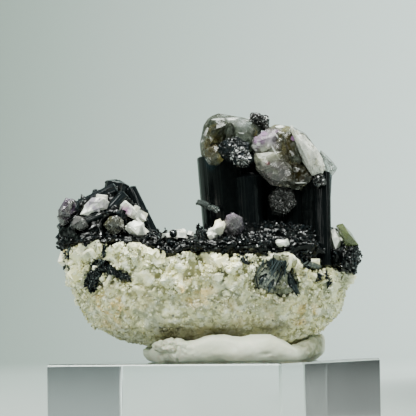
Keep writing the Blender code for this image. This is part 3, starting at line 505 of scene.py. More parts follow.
class Look:
    """A Principled material with short ways to add nodes."""

    def __init__(self, name, **values):
        self.material = bpy.data.materials.new(name)
        self.material.use_nodes = True
        self.tree = self.material.node_tree
        self.shader = self.tree.nodes["Principled BSDF"]
        for socket, value in values.items():
            self.shader.inputs[socket.replace("_", " ")].default_value = value
        self.place = self.add("TexCoord", "Object", {})

    def add(self, kind, output, inputs, **settings):
        """An output of a new node; each of its inputs is a value or another node's output."""
        node = self.tree.nodes.new("ShaderNode" + kind)
        for setting, value in settings.items():
            setattr(node, setting, value)
        for socket, value in inputs.items():
            if isinstance(value, bpy.types.NodeSocket):
                self.tree.links.new(value, node.inputs[socket])
            else:
                node.inputs[socket].default_value = value
        return node.outputs[output]

    def set(self, socket, value):
        self.tree.links.new(value, self.shader.inputs[socket])

    def noise(self, scale, detail=4.0, stretch=None):
        """Noise of scale waves a millimetre."""
        place = self.place
        if stretch is not None:
            place = self.add("Mapping", "Vector", {"Scale": stretch, "Vector": place})
        return self.add("TexNoise", "Fac", {"Scale": scale / MM, "Detail": detail, "Vector": place})

    def cells(self, scale, output="Distance"):
        return self.add("TexVoronoi", output, {"Scale": scale / MM, "Vector": self.place})

    def along(self, axis):
        return self.add("SeparateXYZ", axis, {"Vector": self.place})

    def ramp(self, source, low, high, to_low=0.0, to_high=1.0):
        ends = {"From Min": low, "From Max": high, "To Min": to_low, "To Max": to_high}
        return self.add("MapRange", "Result", {"Value": source, **ends})

    def near(self, centre, radius, core=0.4):
        """1 at a place, in millimetres, falling to 0 at the radius."""
        centre = [value * MM for value in LEAN @ Vector(centre)]
        distance = self.add("VectorMath", "Value", {0: self.place, 1: centre}, operation="DISTANCE")
        return self.ramp(distance, radius * MM, radius * core * MM)

    def patches(self, centre, radius, scale, low, high):
        """Noise that shows only near a place."""
        return self.times(self.near(centre, radius), self.ramp(self.noise(scale, 5.0), low, high))

    def height(self, low, high):
        """0 below the height low, 1 above high, in millimetres."""
        return self.ramp(self.along("Z"), low * MM, high * MM)

    def math(self, operation, first, second):
        return self.add("Math", "Value", {0: first, 1: second}, operation=operation)

    def times(self, first, second):
        return self.math("MULTIPLY", first, second)

    def tint(self):
        return self.add("Attribute", "Fac", {}, attribute_name="tint")

    def mix(self, share, first, second):
        sides = [(*side, 1.0) if isinstance(side, tuple) else side for side in (first, second)]
        inputs = {"Factor": share, "A": sides[0], "B": sides[1]}
        return self.add("Mix", "Result", inputs, data_type="RGBA")

    def breaks(self, scale, lean):
        """Normals of small flat breaks: each cell of the surface leans its own way."""
        lean_of_cell = {0: self.cells(scale, "Color"), 1: (lean,) * 3, 2: (-lean / 2,) * 3}
        lean = self.add("VectorMath", "Vector", lean_of_cell, operation="MULTIPLY_ADD")
        normal = self.add("NewGeometry", "Normal", {})
        leaning = self.add("VectorMath", "Vector", {0: lean, 1: normal}, operation="ADD")
        return self.add("VectorMath", "Vector", {0: leaning}, operation="NORMALIZE")

    def bump(self, height, strength, distance, normal=None):
        """Small relief; distance is in millimetres."""
        inputs = {"Height": height, "Strength": strength, "Distance": distance * MM}
        if normal is not None:
            inputs["Normal"] = normal
        self.set("Normal", self.add("Bump", "Normal", inputs))


def stony_look(name, radius, **values):
    """A little light goes into the stone, as far as the radius says for red, green and blue."""
    return Look(name, Subsurface_Weight=0.06, Subsurface_Scale=0.4 * MM, Subsurface_Radius=radius, **values)


def feldspar_look():
    """The rock: mottled cream grains, tan stains, a few dark specks, and painted shade above the putty."""
    look = stony_look("feldspar", (1.0, 0.85, 0.5))
    tone = look.mix(look.tint(), (0.56, 0.53, 0.23), (0.99, 0.96, 0.64))
    tone = look.mix(look.ramp(look.noise(0.8, 3.0), 0.48, 0.60, 0.0, 0.85), tone, (0.99, 0.98, 0.79))
    mottle = look.ramp(look.noise(1.1, 5.0), 0.49, 0.57)
    upward = look.ramp(look.height(SUGARY_BELOW - 1, SUGARY_BELOW + 3), 0.0, 1.0, 0.8, 0.1)
    tone = look.mix(look.times(mottle, upward), tone, (0.33, 0.32, 0.17))
    tone = look.mix(look.ramp(look.noise(0.27, 4.0), 0.50, 0.62, 0.0, 0.4), tone, (0.52, 0.55, 0.43))
    low = look.ramp(look.height(SUGARY_BELOW - 3, SUGARY_BELOW + 2), 0.0, 1.0, 1.0, 0.35)
    tan = look.times(look.ramp(look.noise(0.24, 6.0), 0.54, 0.68), low)
    tone = look.mix(look.times(tan, 0.5), tone, (0.70, 0.55, 0.25))
    for centre, radius in (((-18.0, -9.0, 28.0), 5.5), ((-3.0, -14.0, 31.0), 4.0), ((15.0, -8.0, 27.0), 3.5)):
        tone = look.mix(look.patches(centre, radius, 0.6, 0.46, 0.60), tone, (0.84, 0.58, 0.20))
    tone = look.mix(look.near((-24.6, -4.0, 38.8), 2.2, 0.3), tone, (0.86, 0.66, 0.28))
    # Painted shade: the rock's underside above the putty is darkened, most towards the bottom where the rock
    # overhangs it
    for centre, radius in (((-6.0, -8.0, 25.0), 5.0), ((1.5, -10.0, 25.6), 5.5), ((9.6, -10.0, 26.2), 5.5)):
        painted_contact_shade = look.times(look.near(centre, radius, 0.5), look.height(27.2, 25.6))
        tone = look.mix(look.times(painted_contact_shade, 0.85), tone, (0.10, 0.087, 0.035))
    speck = look.times(look.ramp(look.cells(0.8), 0.22, 0.14), look.ramp(look.noise(0.3), 0.48, 0.56))
    look.set("Base Color", look.mix(look.times(speck, 0.85), tone, (0.10, 0.11, 0.10)))
    look.set("Roughness", look.ramp(look.cells(1.3, "Color"), 0.0, 1.0, 0.12, 0.55))
    look.bump(look.noise(4.0, 3.0), 0.7, 0.1)
    return look.material


def white_feldspar_look(name="feldspar_white", through=0.0, grain=(1.0, 1.0, 1.0), greyness=0.8):
    """White crystals with grey streaks along the grain, a warm patch and two stains."""
    look = stony_look(name, (1.0, 0.9, 0.7), Transmission_Weight=through)
    tone = look.mix(look.tint(), (0.50, 0.49, 0.37), (0.97, 0.97, 0.90))
    streaks = look.ramp(look.noise(0.6, 4.0, grain), 0.46, 0.58, 0.0, greyness)
    tone = look.mix(streaks, tone, (0.27, 0.29, 0.26))
    tone = look.mix(look.patches((1.2, -9.0, 42.0), 3.2, 0.3, 0.30, 0.45), tone, (0.93, 0.88, 0.62))
    tone = look.mix(look.patches((-18.9, -7.8, 45.3), 2.6, 0.8, 0.44, 0.56), tone, (0.26, 0.23, 0.27))
    tone = look.mix(look.patches((-14.0, -6.9, 44.1), 1.3, 0.7, 0.36, 0.48), tone, (0.22, 0.05, 0.20))
    look.set("Base Color", tone)
    look.set("Roughness", look.ramp(look.noise(1.2), 0.3, 0.7, 0.12, 0.45))
    look.bump(look.noise(3.0, 3.0, (1.0, 1.0, 3.0)), 0.4, 0.06)
    return look.material


def schorl_look(name="schorl", deep=(0.0015, 0.002, 0.002), pale=(0.010, 0.014, 0.016), mirror=0.17):
    """Tourmaline from its deep to its pale tone, striped along its height, with a teal cast at two places."""
    look = Look(name, IOR=1.5, Specular_IOR_Level=mirror)
    tone = look.mix(look.tint(), deep, pale)
    for centre, radius in (((-1.3, -4.0, 52.4), 2.2), ((18.2, -3.0, 49.2), 2.4)):
        tone = look.mix(look.near(centre, radius, 0.2), tone, (0.004, 0.020, 0.028))
    look.set("Base Color", tone)
    look.set("Roughness", look.ramp(look.noise(1.4, 3.0), 0.35, 0.7, 0.05, 0.22))
    look.bump(look.noise(1.0, 3.0, (6.0, 6.0, 0.5)), 0.3, 0.04)
    return look.material


def fluorite_look(name, colour, roughness, cloud, through, zones=(), broken=0.35, flecks=0.4, mirror=0.5):
    """A clear crystal; each zone is a place, a radius and a colour that shows there in patches.

    broken is how uneven its faces are, flecks how much of it is speckled with pale cracks, and mirror how
    strongly it reflects.
    """
    look = Look(name, IOR=1.434, Base_Color=(*colour, 1.0), Roughness=roughness, Transmission_Weight=through)
    look.shader.inputs["Specular IOR Level"].default_value = mirror
    if zones:
        base = look.mix(look.ramp(look.noise(0.9, 6.0), 0.42, 0.60), colour, tuple(0.55 * c for c in colour))
        for centre, radius, tone in zones:
            base = look.mix(look.patches(centre, radius, 0.55, 0.32, 0.50), base, tone)
        base = look.mix(look.ramp(look.noise(1.6, 6.0), 0.56, 0.66, 0.0, flecks), base, (0.72, 0.72, 0.66))
        look.set("Base Color", base)
    if cloud:
        look.set("Roughness", look.ramp(look.noise(0.5, 5.0), 0.45, 0.65, roughness, cloud))
    look.bump(look.noise(0.9, 5.0), broken, 0.12, look.breaks(1.2, 0.9 * broken))
    return look.material


def veil_look(name, colour, most):
    """Healed cracks and coloured zones inside the crystals."""
    look = Look(name, Roughness=0.35, Transmission_Weight=0.35, Base_Color=(*colour, 1.0))
    look.set("Alpha", look.ramp(look.noise(0.6, 5.0), 0.40, 0.68, 0.0, most))
    return look.material


def putty_look():
    """Pale putty, with a tan nick, and painted shade on the rough lobe at the right, in the folds at the left
    and at its foot.
    """
    look = Look("putty", Roughness=0.6, Subsurface_Weight=0.08, Subsurface_Scale=0.5 * MM)
    tone = look.mix(look.ramp(look.noise(0.25), 0.35, 0.7), (0.70, 0.72, 0.55), (0.90, 0.91, 0.76))
    tone = look.mix(look.times(look.near((8.4, -11.4, 22.4), 1.0, 0.5), 0.5), tone, (0.50, 0.42, 0.26))
    # The rough lobe at the right is darkened in mottled patches: painted shade
    mottle = look.ramp(look.noise(1.1), 0.35, 0.6, 0.7, 1.0)
    tone = look.mix(look.times(look.near((16.4, -4.6, 24.2), 5.4, 0.6), mottle), tone, (0.22, 0.23, 0.135))
    # Darker just above the block, at the putty's foot: painted shade
    low = look.times(look.height(BLOCK_TOP + 1.6, BLOCK_TOP + 0.3), 0.16)
    tone = look.mix(low, tone, (0.50, 0.52, 0.36))
    # Painted shade in the creases of the pinched folds at the left
    folds = look.times(look.near((-7.4, -7.5, 22.6), 4.0, 0.3), look.ramp(look.noise(0.7), 0.40, 0.55))
    look.set("Base Color", look.mix(look.times(folds, 0.6), tone, (0.40, 0.41, 0.28)))
    look.bump(look.noise(1.6, 4.0), 0.3, 0.12)
    return look.material


def acrylic_look():
    look = Look("acrylic", IOR=1.49, Transmission_Weight=1.0, Base_Color=(0.965, 0.985, 0.98, 1.0))
    look.set("Roughness", look.ramp(look.noise(0.06, 3.0), 0.4, 0.7, 0.0, 0.02))
    return look.material


def stage_look():
    """Pale card with painted light that makes it lighter to the right, and that falls off to dark cloth
    behind the camera and beside it.
    """
    look = Look("studio_card", Roughness=0.9)
    # Lighter to the right: painted light on the card
    tone = look.mix(look.ramp(look.along("X"), -0.20, 0.20), (0.33, 0.405, 0.365), (0.87, 0.97, 0.96))
    tone = look.mix(look.near((0.0, 0.0, 0.0), 900.0, 0.3), tone, (0.30, 0.34, 0.32))
    tone = look.mix(look.near((620.0, 460.0, 0.0), 600.0, 0.8), tone, (0.095, 0.112, 0.112))
    front = look.ramp(look.along("Y"), -0.45, -1.1)
    beside = look.near((-560.0, -480.0, 0.0), 570.0, 0.8)
    look.set("Base Color", look.mix(look.math("MAXIMUM", front, beside), tone, (0.006, 0.007, 0.007)))
    return look.material


# The specimen


def seen_at(x, z, y):
    """The place at depth y that looks, from the eye, as if it stood at x and z in the middle plane."""
    share = 1 - y / EYE.y
    return LEAN @ Vector((EYE.x + (x - EYE.x) * share, y, EYE.z + (z - EYE.z) * share))


def on_front(tree, x, z):
    """Where the line of sight through a place of the picture meets a surface, and the way out of it there."""
    place, outward, _, _ = tree.ray_cast(EYE, (seen_at(x, z, 0.0) - EYE).normalized())
    return place, outward


def vein_places(rng):
    """Places all over the rock's dark veins, the ways out of the rock there, and the veins' half widths."""
    rock = tree_of(("feldspar_matrix", "schorl_tuft"))
    places, outwards, widths = [], [], []
    for line, half_width in ROCK_VEINS:
        for (x, z), (next_x, next_z) in zip(line, line[1:]):
            length = math.hypot(next_x - x, next_z - z)
            for _ in range(int(length * half_width * 26) + 4):
                share = rng.random()
                spread = half_width * rng.uniform(-1, 1, 2)
                across, up = x + (next_x - x) * share, z + (next_z - z) * share
                place, outward = on_front(rock, across + spread[0], up + spread[1])
                if place is not None:
                    places.append(place)
                    outwards.append(outward)
                    widths.append(half_width)
    return np.array(places), np.array(outwards), np.array(widths)


def rock_relief(point, rise):
    """How far the rock stands out at a point: steps between split blocks above, sugary grains below."""
    place = Vector(point)
    _, cell = noise.voronoi(place * 0.55)
    step = noise.cell(cell[0] * 9.7) - 0.5
    lump = noise.noise(place * 0.42)
    near, _ = noise.voronoi(place * 1.3)
    fine, _ = noise.voronoi(place * 2.6)
    return rise * 1.25 * step + 0.35 * lump - 0.34 * near[0] + 0.12 - 0.16 * fine[0]


def make_rock(look, veins):
    """The rock with its relief, covered in split blocks and finer grains that leave the veins free."""
    rng = np.random.default_rng(11)
    form = Form()
    points, faces, normals = remeshed("feldspar_matrix", voxel=0.31)
    rises = np.clip((points[:, 2] - SUGARY_BELOW + 2) / 4, 0, 1)
    relief = np.array([rock_relief(point, rise) for point, rise in zip(points, rises)])
    set_in = tree_of(SET_IN_ROCK)
    beside_set_in = ~clear_of(set_in, points, 0.9)
    relief[beside_set_in] = np.minimum(relief[beside_set_in], 0.0) - 0.25
    moved = behind(points + normals * relief[:, None], SET_IN_ROCK, gap=0.35, most=4.0)
    form.add(moved, faces, 0.6, smooth=True)
    # Number, least and most half size, lowest place, how far sunk, mean tint
    for count, least, most, lowest, sunk, pale in (
        (330, 0.75, 1.6, SUGARY_BELOW + 1.5, 0.84, 0.72),
        (1500, 0.28, 0.62, SUGARY_BELOW, 0.55, 0.72),
        (9400, 0.09, 0.27, 0.0, 0.2, 0.6),
    ):
        places, outwards = surface_places("feldspar_matrix", count, rng, reach=1.6)
        high = places[:, 2] > lowest + 1.5 * rng.normal(size=len(places))
        places, outwards = picked(high, places, outwards)
        sizes = rng.uniform(least, most, (len(places), 1)) * rng.uniform(0.6, 1.15, (len(places), 3))
        reach = sizes.max(axis=1)
        free = clear_of(set_in, places, reach + 0.15) & ~in_front_of(places, reach, SET_IN_ROCK, most=9.0)
        gaps = np.linalg.norm(places[:, None] - veins[0], axis=2).min(axis=1)
        free &= gaps > 0.7 * reach + 0.05
        places, outwards, sizes = picked(free, places, outwards, sizes)
        turns = turns_about(outwards, 0.8, rng)
        places = places - outwards * sizes.mean(axis=1)[:, None] * sunk
        tint = np.clip(rng.normal(pale, 0.36, len(places)), 0, 1)
        add_blocks(form, places, sizes, turns, rng, tint, uneven=0.42)
    form.to_piece("feldspar_rock", look, "feldspar", "feldspar_matrix")


def pale_nodes():
    """The pale and clear crystals that show among the black ones."""
    names = [name for name in sorted(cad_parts) if name.startswith(("fluorite", "feldspar"))]
    return [name for name in names if name != "feldspar_matrix"]


def crust_relief(place):
    """Knobs about 1 mm across with smaller ones on them."""
    large, _ = noise.voronoi(place * 0.9)
    small, _ = noise.voronoi(place * 2.2)
    return 0.3 * noise.noise(place * 0.8) + 0.28 - 0.62 * large[0] - 0.22 * small[0]


def saddle_places(places):
    """Which places lie on the low, pale part of the crust between the mound and the tower."""
    return (np.abs(places[:, 0] - SADDLE_MIDDLE) < SADDLE_REACH) & (places[:, 2] > SADDLE_FOOT)


def add_mound_laths(form, pale, rng):
    """The mound's large laths, and small ones all over it that lean to the right."""
    for lath in MOUND_LATHS:
        add_striated_prism(form, lath, rng, relief=0.03, around=48, steps=6, tint=0.6)
    places, outwards = surface_places("schorl_crust", 900, rng, reach=1.2)
    beside_free_lath = (places[:, 0] > -15.6) & (places[:, 2] > 42.6)
    between = (places[:, 2] > MOUND_LATH_LOW) & (places[:, 2] < MOUND_LATH_HIGH)
    mound = (places[:, 0] < MOUND_RIGHT) & between & ~beside_free_lath
    places, outwards = (rows[mound][:MOUND_LATH_COUNT] for rows in (places, outwards))
    free = clear_of(pale, places, 0.9)
    upright = LEAN.inverted()
    for place, outward in zip(places[free], outwards[free]):
        axis = outward * 0.2 + np.array([0.75, 0.1, 0.6]) + 0.35 * rng.normal(size=3)
        axis *= rng.uniform(0.8, 1.6) / np.linalg.norm(axis)
        place = place - 0.45 * outward
        ends = (upright @ Vector(place - axis), upright @ Vector(place + axis))
        radius = rng.uniform(0.35, 0.7)
        lath = (*ends, radius, radius * 0.95)
        tint = rng.uniform(0.5, 1.0)
        add_striated_prism(form, lath, rng, relief=0.025, around=36, steps=4, tint=tint)


def make_crust(look, bright):
    """The black crust of stubby crystals, with the mound's laths and the saddle's small balls."""
    rng = np.random.default_rng(5)
    form = Form()
    points, faces, normals = remeshed("schorl_crust", voxel=0.42)
    relief = np.array([crust_relief(Vector(p)) for p in points])
    on_saddle = saddle_places(points)
    relief[on_saddle] = np.minimum(relief[on_saddle], 0.0) - 0.5
    pale_names = pale_nodes()
    moved = behind(points + normals * relief[:, None], pale_names, gap=0.15, most=1.6)
    moved = behind(moved, ("feldspar_saddle",), gap=0.2, most=6.0)
    form.add(moved, faces, 0.0, smooth=True)
    pale = tree_of(pale_names)
    # Number, radii, lengths
    for count, radii, lengths in (
        (300, (0.24, 0.40), (0.5, 0.9)),
        (3300, (0.12, 0.26), (0.3, 0.6)),
        (7000, (0.07, 0.15), (0.2, 0.4)),
    ):
        places, outwards = surface_places("schorl_crust", count, rng, reach=1.2)
        on_mound = (places[:, 0] < MOUND_RIGHT) & (places[:, 2] > MOUND_FOOT)
        kept = (~on_mound | (rng.random(len(places)) < MOUND_GRAINS)) & ~saddle_places(places)
        places, outwards = picked(kept, places, outwards)
        width = rng.uniform(*radii, len(places))
        length = rng.uniform(*lengths, len(places))
        free = clear_of(pale, places, 0.5 * length + 0.15)
        free &= ~in_front_of(places, width, pale_names, most=2.5)
        free &= ~in_front_of(places, width, ("feldspar_saddle",), most=7.0)
        places, outwards, width, length = picked(free, places, outwards, width, length)
        axes = outwards + 0.75 * rng.normal(size=outwards.shape)
        add_grains(form, places, width, length, axes, rng, power=2)
    add_mound_laths(form, pale, rng)
    for seed, (x, z, y, radius) in enumerate(SADDLE_BALLS):
        add_lump(form, seen_at(x, z, y), (radius, radius, radius), 3.0 * seed, 3, False)
    obj = form.to_piece("schorl_crust_druse", look, "schorl", "schorl_crust")
    sparkle(obj, bright, 0.08, rng)


def sparkle(obj, bright, share, rng):
    """Gives a share of the faces, picked at random, the bright material."""
    obj.data.materials.append(bright)
    chosen = rng.random(len(obj.data.polygons)) < share
    obj.data.polygons.foreach_set("material_index", chosen.astype(np.int32))


def make_tower(look, pitted, dull):
    """The prisms, with the pitted end of the one that points at the viewer; the right ones are dull."""
    rng = np.random.default_rng(8)
    form = Form()
    ends = []
    for prism, relief in zip(TOWER_PRISMS, TOWER_RELIEFS):
        tint = rng.uniform(0.0, 0.2)
        add_striated_prism(form, prism, rng, relief, around=120, steps=9, tint=tint, back_relief=0.05)
        ends.append(sum(len(rows) for rows in form.faces))
    add_pitted_end(form, PITTED_PRISM)
    obj = form.to_piece("schorl_tower_prisms", look, "schorl", "schorl_tower")
    obj.data.materials.append(pitted)
    obj.data.materials.append(dull)
    for face in obj.data.polygons[ends[-1] :]:
        face.material_index = 1
    for face in obj.data.polygons[ends[-3] : ends[-1]]:
        face.material_index = 2


def make_small_schorl(look, bright, glint):
    """The free lath, the top knob and the balls of black crystals; the small ball sparkles more."""
    rng = np.random.default_rng(9)
    form = Form()
    add_striated_prism(form, FREE_LATH, rng, relief=0.035, around=60, steps=7, tint=0.5)
    form.to_piece("schorl_free_lath", look, "schorl", "schorl_lath_free")
    # Number and sizes of the grains on each lump, share of bright faces, share of glints
    for name, node, count, least, most, shining, glints in (
        ("schorl_top_knob", "schorl_knob_top", 110, 0.12, 0.34, 0.8, 0.04),
        ("schorl_front_balls", "schorl_druse_front", 420, 0.14, 0.42, 0.09, 0.0),
        ("schorl_right_ball", "schorl_druse_right", 150, 0.14, 0.34, 0.8, 0.0),
    ):
        form = Form()
        points, faces, normals = remeshed(node, voxel=0.16, smoothing=3)
        spots = [Vector(p) for p in points]
        relief = [[0.28 * noise.noise(p * 1.3) + 0.1 * noise.noise(p * 4)] for p in spots]
        form.add(points + normals * relief, faces, 0.3, smooth=True)
        places, outwards = surface_places(node, count, rng, reach=0.4)
        axes = outwards + 0.7 * rng.normal(size=outwards.shape)
        sizes = rng.uniform(least, most, len(places))
        add_grains(form, places - 0.2 * outwards, sizes, sizes * 1.8, axes, rng)
        obj = form.to_piece(name, look, "schorl", node)
        sparkle(obj, bright, shining, rng)
        obj.data.materials.append(glint)
        for face in obj.data.polygons:
            if (face.center / MM - SMALL_BALL).length < SMALL_BALL_REACH:
                face.material_index = int(rng.choice(3, p=SMALL_BALL_SHARES))
            elif glints and rng.random() < glints:
                face.material_index = 2


def add_saddle_grains(form, rng):
    """White grains that lie on the front of the saddle."""
    crust = tree_of(("schorl_crust", "feldspar_saddle"))
    places = np.array([on_front(crust, *place)[0] for place, _ in SADDLE_GRAINS])
    sizes = np.array([half_sizes for _, half_sizes in SADDLE_GRAINS])
    turns = turns_about(np.full((len(places), 3), (0.1, 0.1, 1.0)), 0.15, rng)
    add_blocks(form, places, sizes, turns, rng, np.full(len(places), 0.9), uneven=0.3)


def make_white_feldspars(look, plate_look):
    """White crystals built of cleavage blocks that all lie the same way."""
    rng = np.random.default_rng(21)
    for node in sorted(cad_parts):
        if not node.startswith("feldspar_") or node == "feldspar_matrix":
            continue
        plate = node == "feldspar_plate_top"
        form = Form()
        cad_points, cad_triangles = cad_arrays(node)
        form.add(cad_points, [cad_triangles], 0.7)
        low, high = cad_points.min(axis=0), cad_points.max(axis=0)
        count = int(8 + 1.1 * np.prod(high - low) ** 0.7)
        count = int(count * (4 if plate else 0.4 if "mound" in node else 1))
        places, outwards = surface_places(node, count, rng, reach=0.8)
        grain = turns_along(rng.normal(size=(1, 3)), rng)
        sizes = rng.uniform(0.3, 0.85, (len(places), 3)) * np.array([1.5, 1.0, 0.5])
        sizes *= min(1.0, float((high - low).min()) / 2.6)
        if plate:
            # Long splinters that run down along the plate
            grain = turns_along(np.array([[0.43, -0.12, -0.90]]), rng)
            sizes = rng.uniform(0.7, 1.1, (len(places), 3)) * np.array([0.16, 0.26, 1.15])
            places, outwards, sizes = picked(places[:, 2] > low[2] + 1.6, places, outwards, sizes)
        places = places - outwards * sizes.mean(axis=1)[:, None] * 0.62
        if not plate:
            reach = 0.75 * sizes.max(axis=1)[:, None]
            inside = ((places + reach < high + 0.25) & (places - reach > low - 0.25)).all(axis=1)
            places, sizes = picked(inside, places, sizes)
        turns = np.repeat(grain, len(places), axis=0)
        add_blocks(form, places, sizes, turns, rng, rng.random(len(places)), uneven=0.06)
        if node == "feldspar_saddle":
            add_saddle_grains(form, rng)
        form.to_piece(node + "_crystal", plate_look if plate else look, "feldspar_white", node)


def add_fan(form, rng):
    """Thin needles that spread down over the pocket from its top edge."""
    face = tree_of(("fluorite_pocket", "feldspar_matrix", "tourmaline_needles"))
    for _ in range(64):
        start = (10.4 + rng.normal() * 1.3, 36.6 + rng.normal() * 0.25)
        aim = -math.pi / 2 + rng.uniform(-0.85, 0.5)
        length = rng.uniform(1.2, 5.0) * (1 if rng.random() < 0.4 else 0.6)
        ends = []
        for reach in (0.0, length):
            x, z = start[0] + reach * math.cos(aim), start[1] + reach * math.sin(aim)
            place, outward = on_front(face, x, z)
            if place is None:
                break
            ends.append(np.array(place + outward * rng.uniform(0.0, 0.2)))
        if len(ends) < 2:
            continue
        axis = ends[1] - ends[0]
        size = np.linalg.norm(axis)
        if size > 0.3:
            middle = (ends[0] + ends[1]) / 2
            radius = np.array([rng.uniform(0.05, 0.14)])
            add_grains(form, middle[None], radius, np.array([size]), axis[None], rng)


def make_tufts(schorl, blue, grey, veins):
    """Dark veins and radiating needles in the rock's face."""
    rng = np.random.default_rng(31)
    for name, node, look, slot, count in (
        ("schorl_tuft_needles", "schorl_tuft", schorl, "schorl", 260),
        ("blue_tourmaline_needles", "tourmaline_needles", blue, "tourmaline_blue", 190),
    ):
        form = Form()
        points, faces, _ = remeshed(node, voxel=0.2)
        form.add(points, faces, 0.3, smooth=True)
        cad_points, _ = cad_arrays(node)
        low, high = cad_points.min(axis=0), cad_points.max(axis=0)
        root = np.array([(low[0] + high[0]) / 2, high[1], high[2]])
        places, outwards = surface_places(node, count, rng, reach=0.3)
        axes = (places - root) / 3 + 0.35 * rng.normal(size=places.shape)
        lengths = rng.uniform(0.6, 1.5, len(places))
        radii = rng.uniform(0.06, 0.15, len(places))
        add_grains(form, places, radii, lengths, axes, rng)
        if node == "tourmaline_needles":
            add_fan(form, rng)
        else:
            places, outwards, widths = veins
            axes = 0.8 * outwards + rng.normal(size=places.shape) * (0.6, 0.3, 1.0)
            radii = rng.uniform(0.1, 0.26, len(places)) * (0.6 + 0.4 * widths)
            lengths = rng.uniform(0.5, 1.2, len(places))
            add_grains(form, places - 0.05 * outwards, radii, lengths, axes, rng)
        obj = form.to_piece(name, look, slot, node)
        if node == "schorl_tuft":
            sparkle(obj, grey, 0.22, rng)


def clear_crystal(node, grow, chips, rng):
    """A crystal's solid, grown into its neighbours, with broken corners."""
    points, triangles = cad_arrays(node)
    bm = bmesh.new()
    for point in points:
        bm.verts.new(point)
    bm.verts.ensure_lookup_table()
    for triangle in triangles:
        corners = [bm.verts[n] for n in triangle]
        if not bm.faces.get(corners):
            bm.faces.new(corners)
    bmesh.ops.remove_doubles(bm, verts=bm.verts, dist=0.003)
    bmesh.ops.recalc_face_normals(bm, faces=bm.faces)
    bm.normal_update()
    for vert in bm.verts:
        vert.co += vert.normal * grow
    low, high = points.min(axis=0), points.max(axis=0)
    middle = Vector((low + high) / 2)
    reach = (high - low) / 2
    for _ in range(chips):
        direction = Vector(rng.normal(size=3)).normalized()
        furthest = max(direction.dot(vert.co - middle) for vert in bm.verts)
        cut = middle + direction * (furthest - rng.uniform(0.02, 0.09) * float(reach.mean()) - 0.03)
        everything = bm.verts[:] + bm.edges[:] + bm.faces[:]
        result = bmesh.ops.bisect_plane(
            bm, geom=everything, plane_co=cut, plane_no=direction, clear_outer=True
        )
        rim = [item for item in result["geom_cut"] if isinstance(item, bmesh.types.BMEdge)]
        bmesh.ops.edgeloop_fill(bm, edges=rim)
    bmesh.ops.remove_doubles(bm, verts=bm.verts, dist=0.003)
    bmesh.ops.recalc_face_normals(bm, faces=bm.faces)
    bmesh.ops.scale(bm, vec=(MM, MM, MM), verts=bm.verts)
    mesh = bpy.data.meshes.new(node + "_clear")
    bm.to_mesh(mesh)
    bm.free()
    return link_object(node + "_clear", mesh)


def make_sheaves(look):
    """Small grey crystals on the tower's left side: each is a sheaf of blades that spread both ways."""
    rng = np.random.default_rng(43)
    for node in ("fluorite_tower_front", "fluorite_tower_left"):
        points, triangles = cad_arrays(node)
        middle = points.mean(axis=0)
        _, _, axes = np.linalg.svd(points - middle)
        axis = axes[0]
        half = np.abs((points - middle) @ axis).max()
        form = Form()
        form.add(middle + 0.72 * (points - middle), [triangles], 0.4)
        count = 16
        spread = axis + 0.38 * rng.normal(size=(count, 3))
        signs = np.where(rng.random(count) < 0.5, -1.0, 1.0)
        places = middle + 0.34 * half * axis * signs[:, None] + 0.12 * rng.normal(size=(count, 3))
        radii = rng.uniform(0.1, 0.26, count)
        lengths = half * rng.uniform(0.7, 1.25, count)
        add_grains(form, places, radii, lengths, spread * signs[:, None], rng, 4)
        form.to_piece(node + "_sheaf", look, "fluorite", node)


def make_fluorites(looks):
    """The clear crystals; the two large ones reach further out and have more broken corners."""
    rng = np.random.default_rng(41)
    for node in sorted(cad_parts):
        if not node.startswith("fluorite_") or node.startswith("fluorite_tower"):
            continue
        large = node in ("fluorite_top_left", "fluorite_top_right")
        grow, chips = (0.16, 34) if large else (0.1, 10)
        obj = clear_crystal(node, grow, chips, rng)
        names = CRYSTAL_LOOKS.get(node, OTHER_CRYSTALS)
        for name in names:
            obj.data.materials.append(looks[name])
        for face in obj.data.polygons:
            face.material_index = int(rng.random() < SECOND_SHARE) * (len(names) - 1)
        place_piece(obj, "fluorite", node)


def make_pocket_shards(look, dark):
    """Small broken blocks that roughen the pocket's face."""
    rng = np.random.default_rng(47)
    places, outwards = surface_places("fluorite_pocket", 340, rng, reach=0.3)
    places, outwards = picked(outwards[:, 1] < -0.2, places, outwards)
    sizes = rng.uniform(0.12, 0.46, (len(places), 1)) * rng.uniform(0.4, 1.1, (len(places), 3))
    turns = turns_about(outwards, 0.6, rng)
    form = Form()
    add_blocks(form, places - 0.1 * outwards, sizes, turns, rng, rng.random(len(places)), uneven=0.4)
    sparkle(form.to_piece("fluorite_pocket_shards", look, "fluorite"), dark, 0.4, rng)


def add_sheet(form, centre, half_sizes, normal, spin, rng):
    """A thin ragged sheet: half_sizes are its two half widths and its half thickness."""
    corners = 9
    angles = (np.arange(corners) + rng.uniform(-0.3, 0.3, corners)) * 2 * math.pi / corners
    reach = rng.uniform(0.7, 1.05, corners)
    flat = np.stack([np.cos(angles) * half_sizes[0] * reach, np.sin(angles) * half_sizes[1] * reach], axis=1)
    flat = flat @ np.array([[math.cos(spin), math.sin(spin)], [-math.sin(spin), math.cos(spin)]])
    front = np.column_stack([flat, np.full(corners, half_sizes[2])])
    back = np.column_stack([flat * 0.97, np.full(corners, -half_sizes[2])])
    turn = np.array(Vector(normal).to_track_quat("Z", "Y").to_matrix())
    points = np.concatenate([front, back]) @ turn.T + np.array(centre)
    here = np.arange(corners)
    after = (here + 1) % corners
    walls = np.stack([here, here + corners, after + corners, after], axis=1)
    form.add(points, [walls, here[None], (here + corners)[::-1][None]])


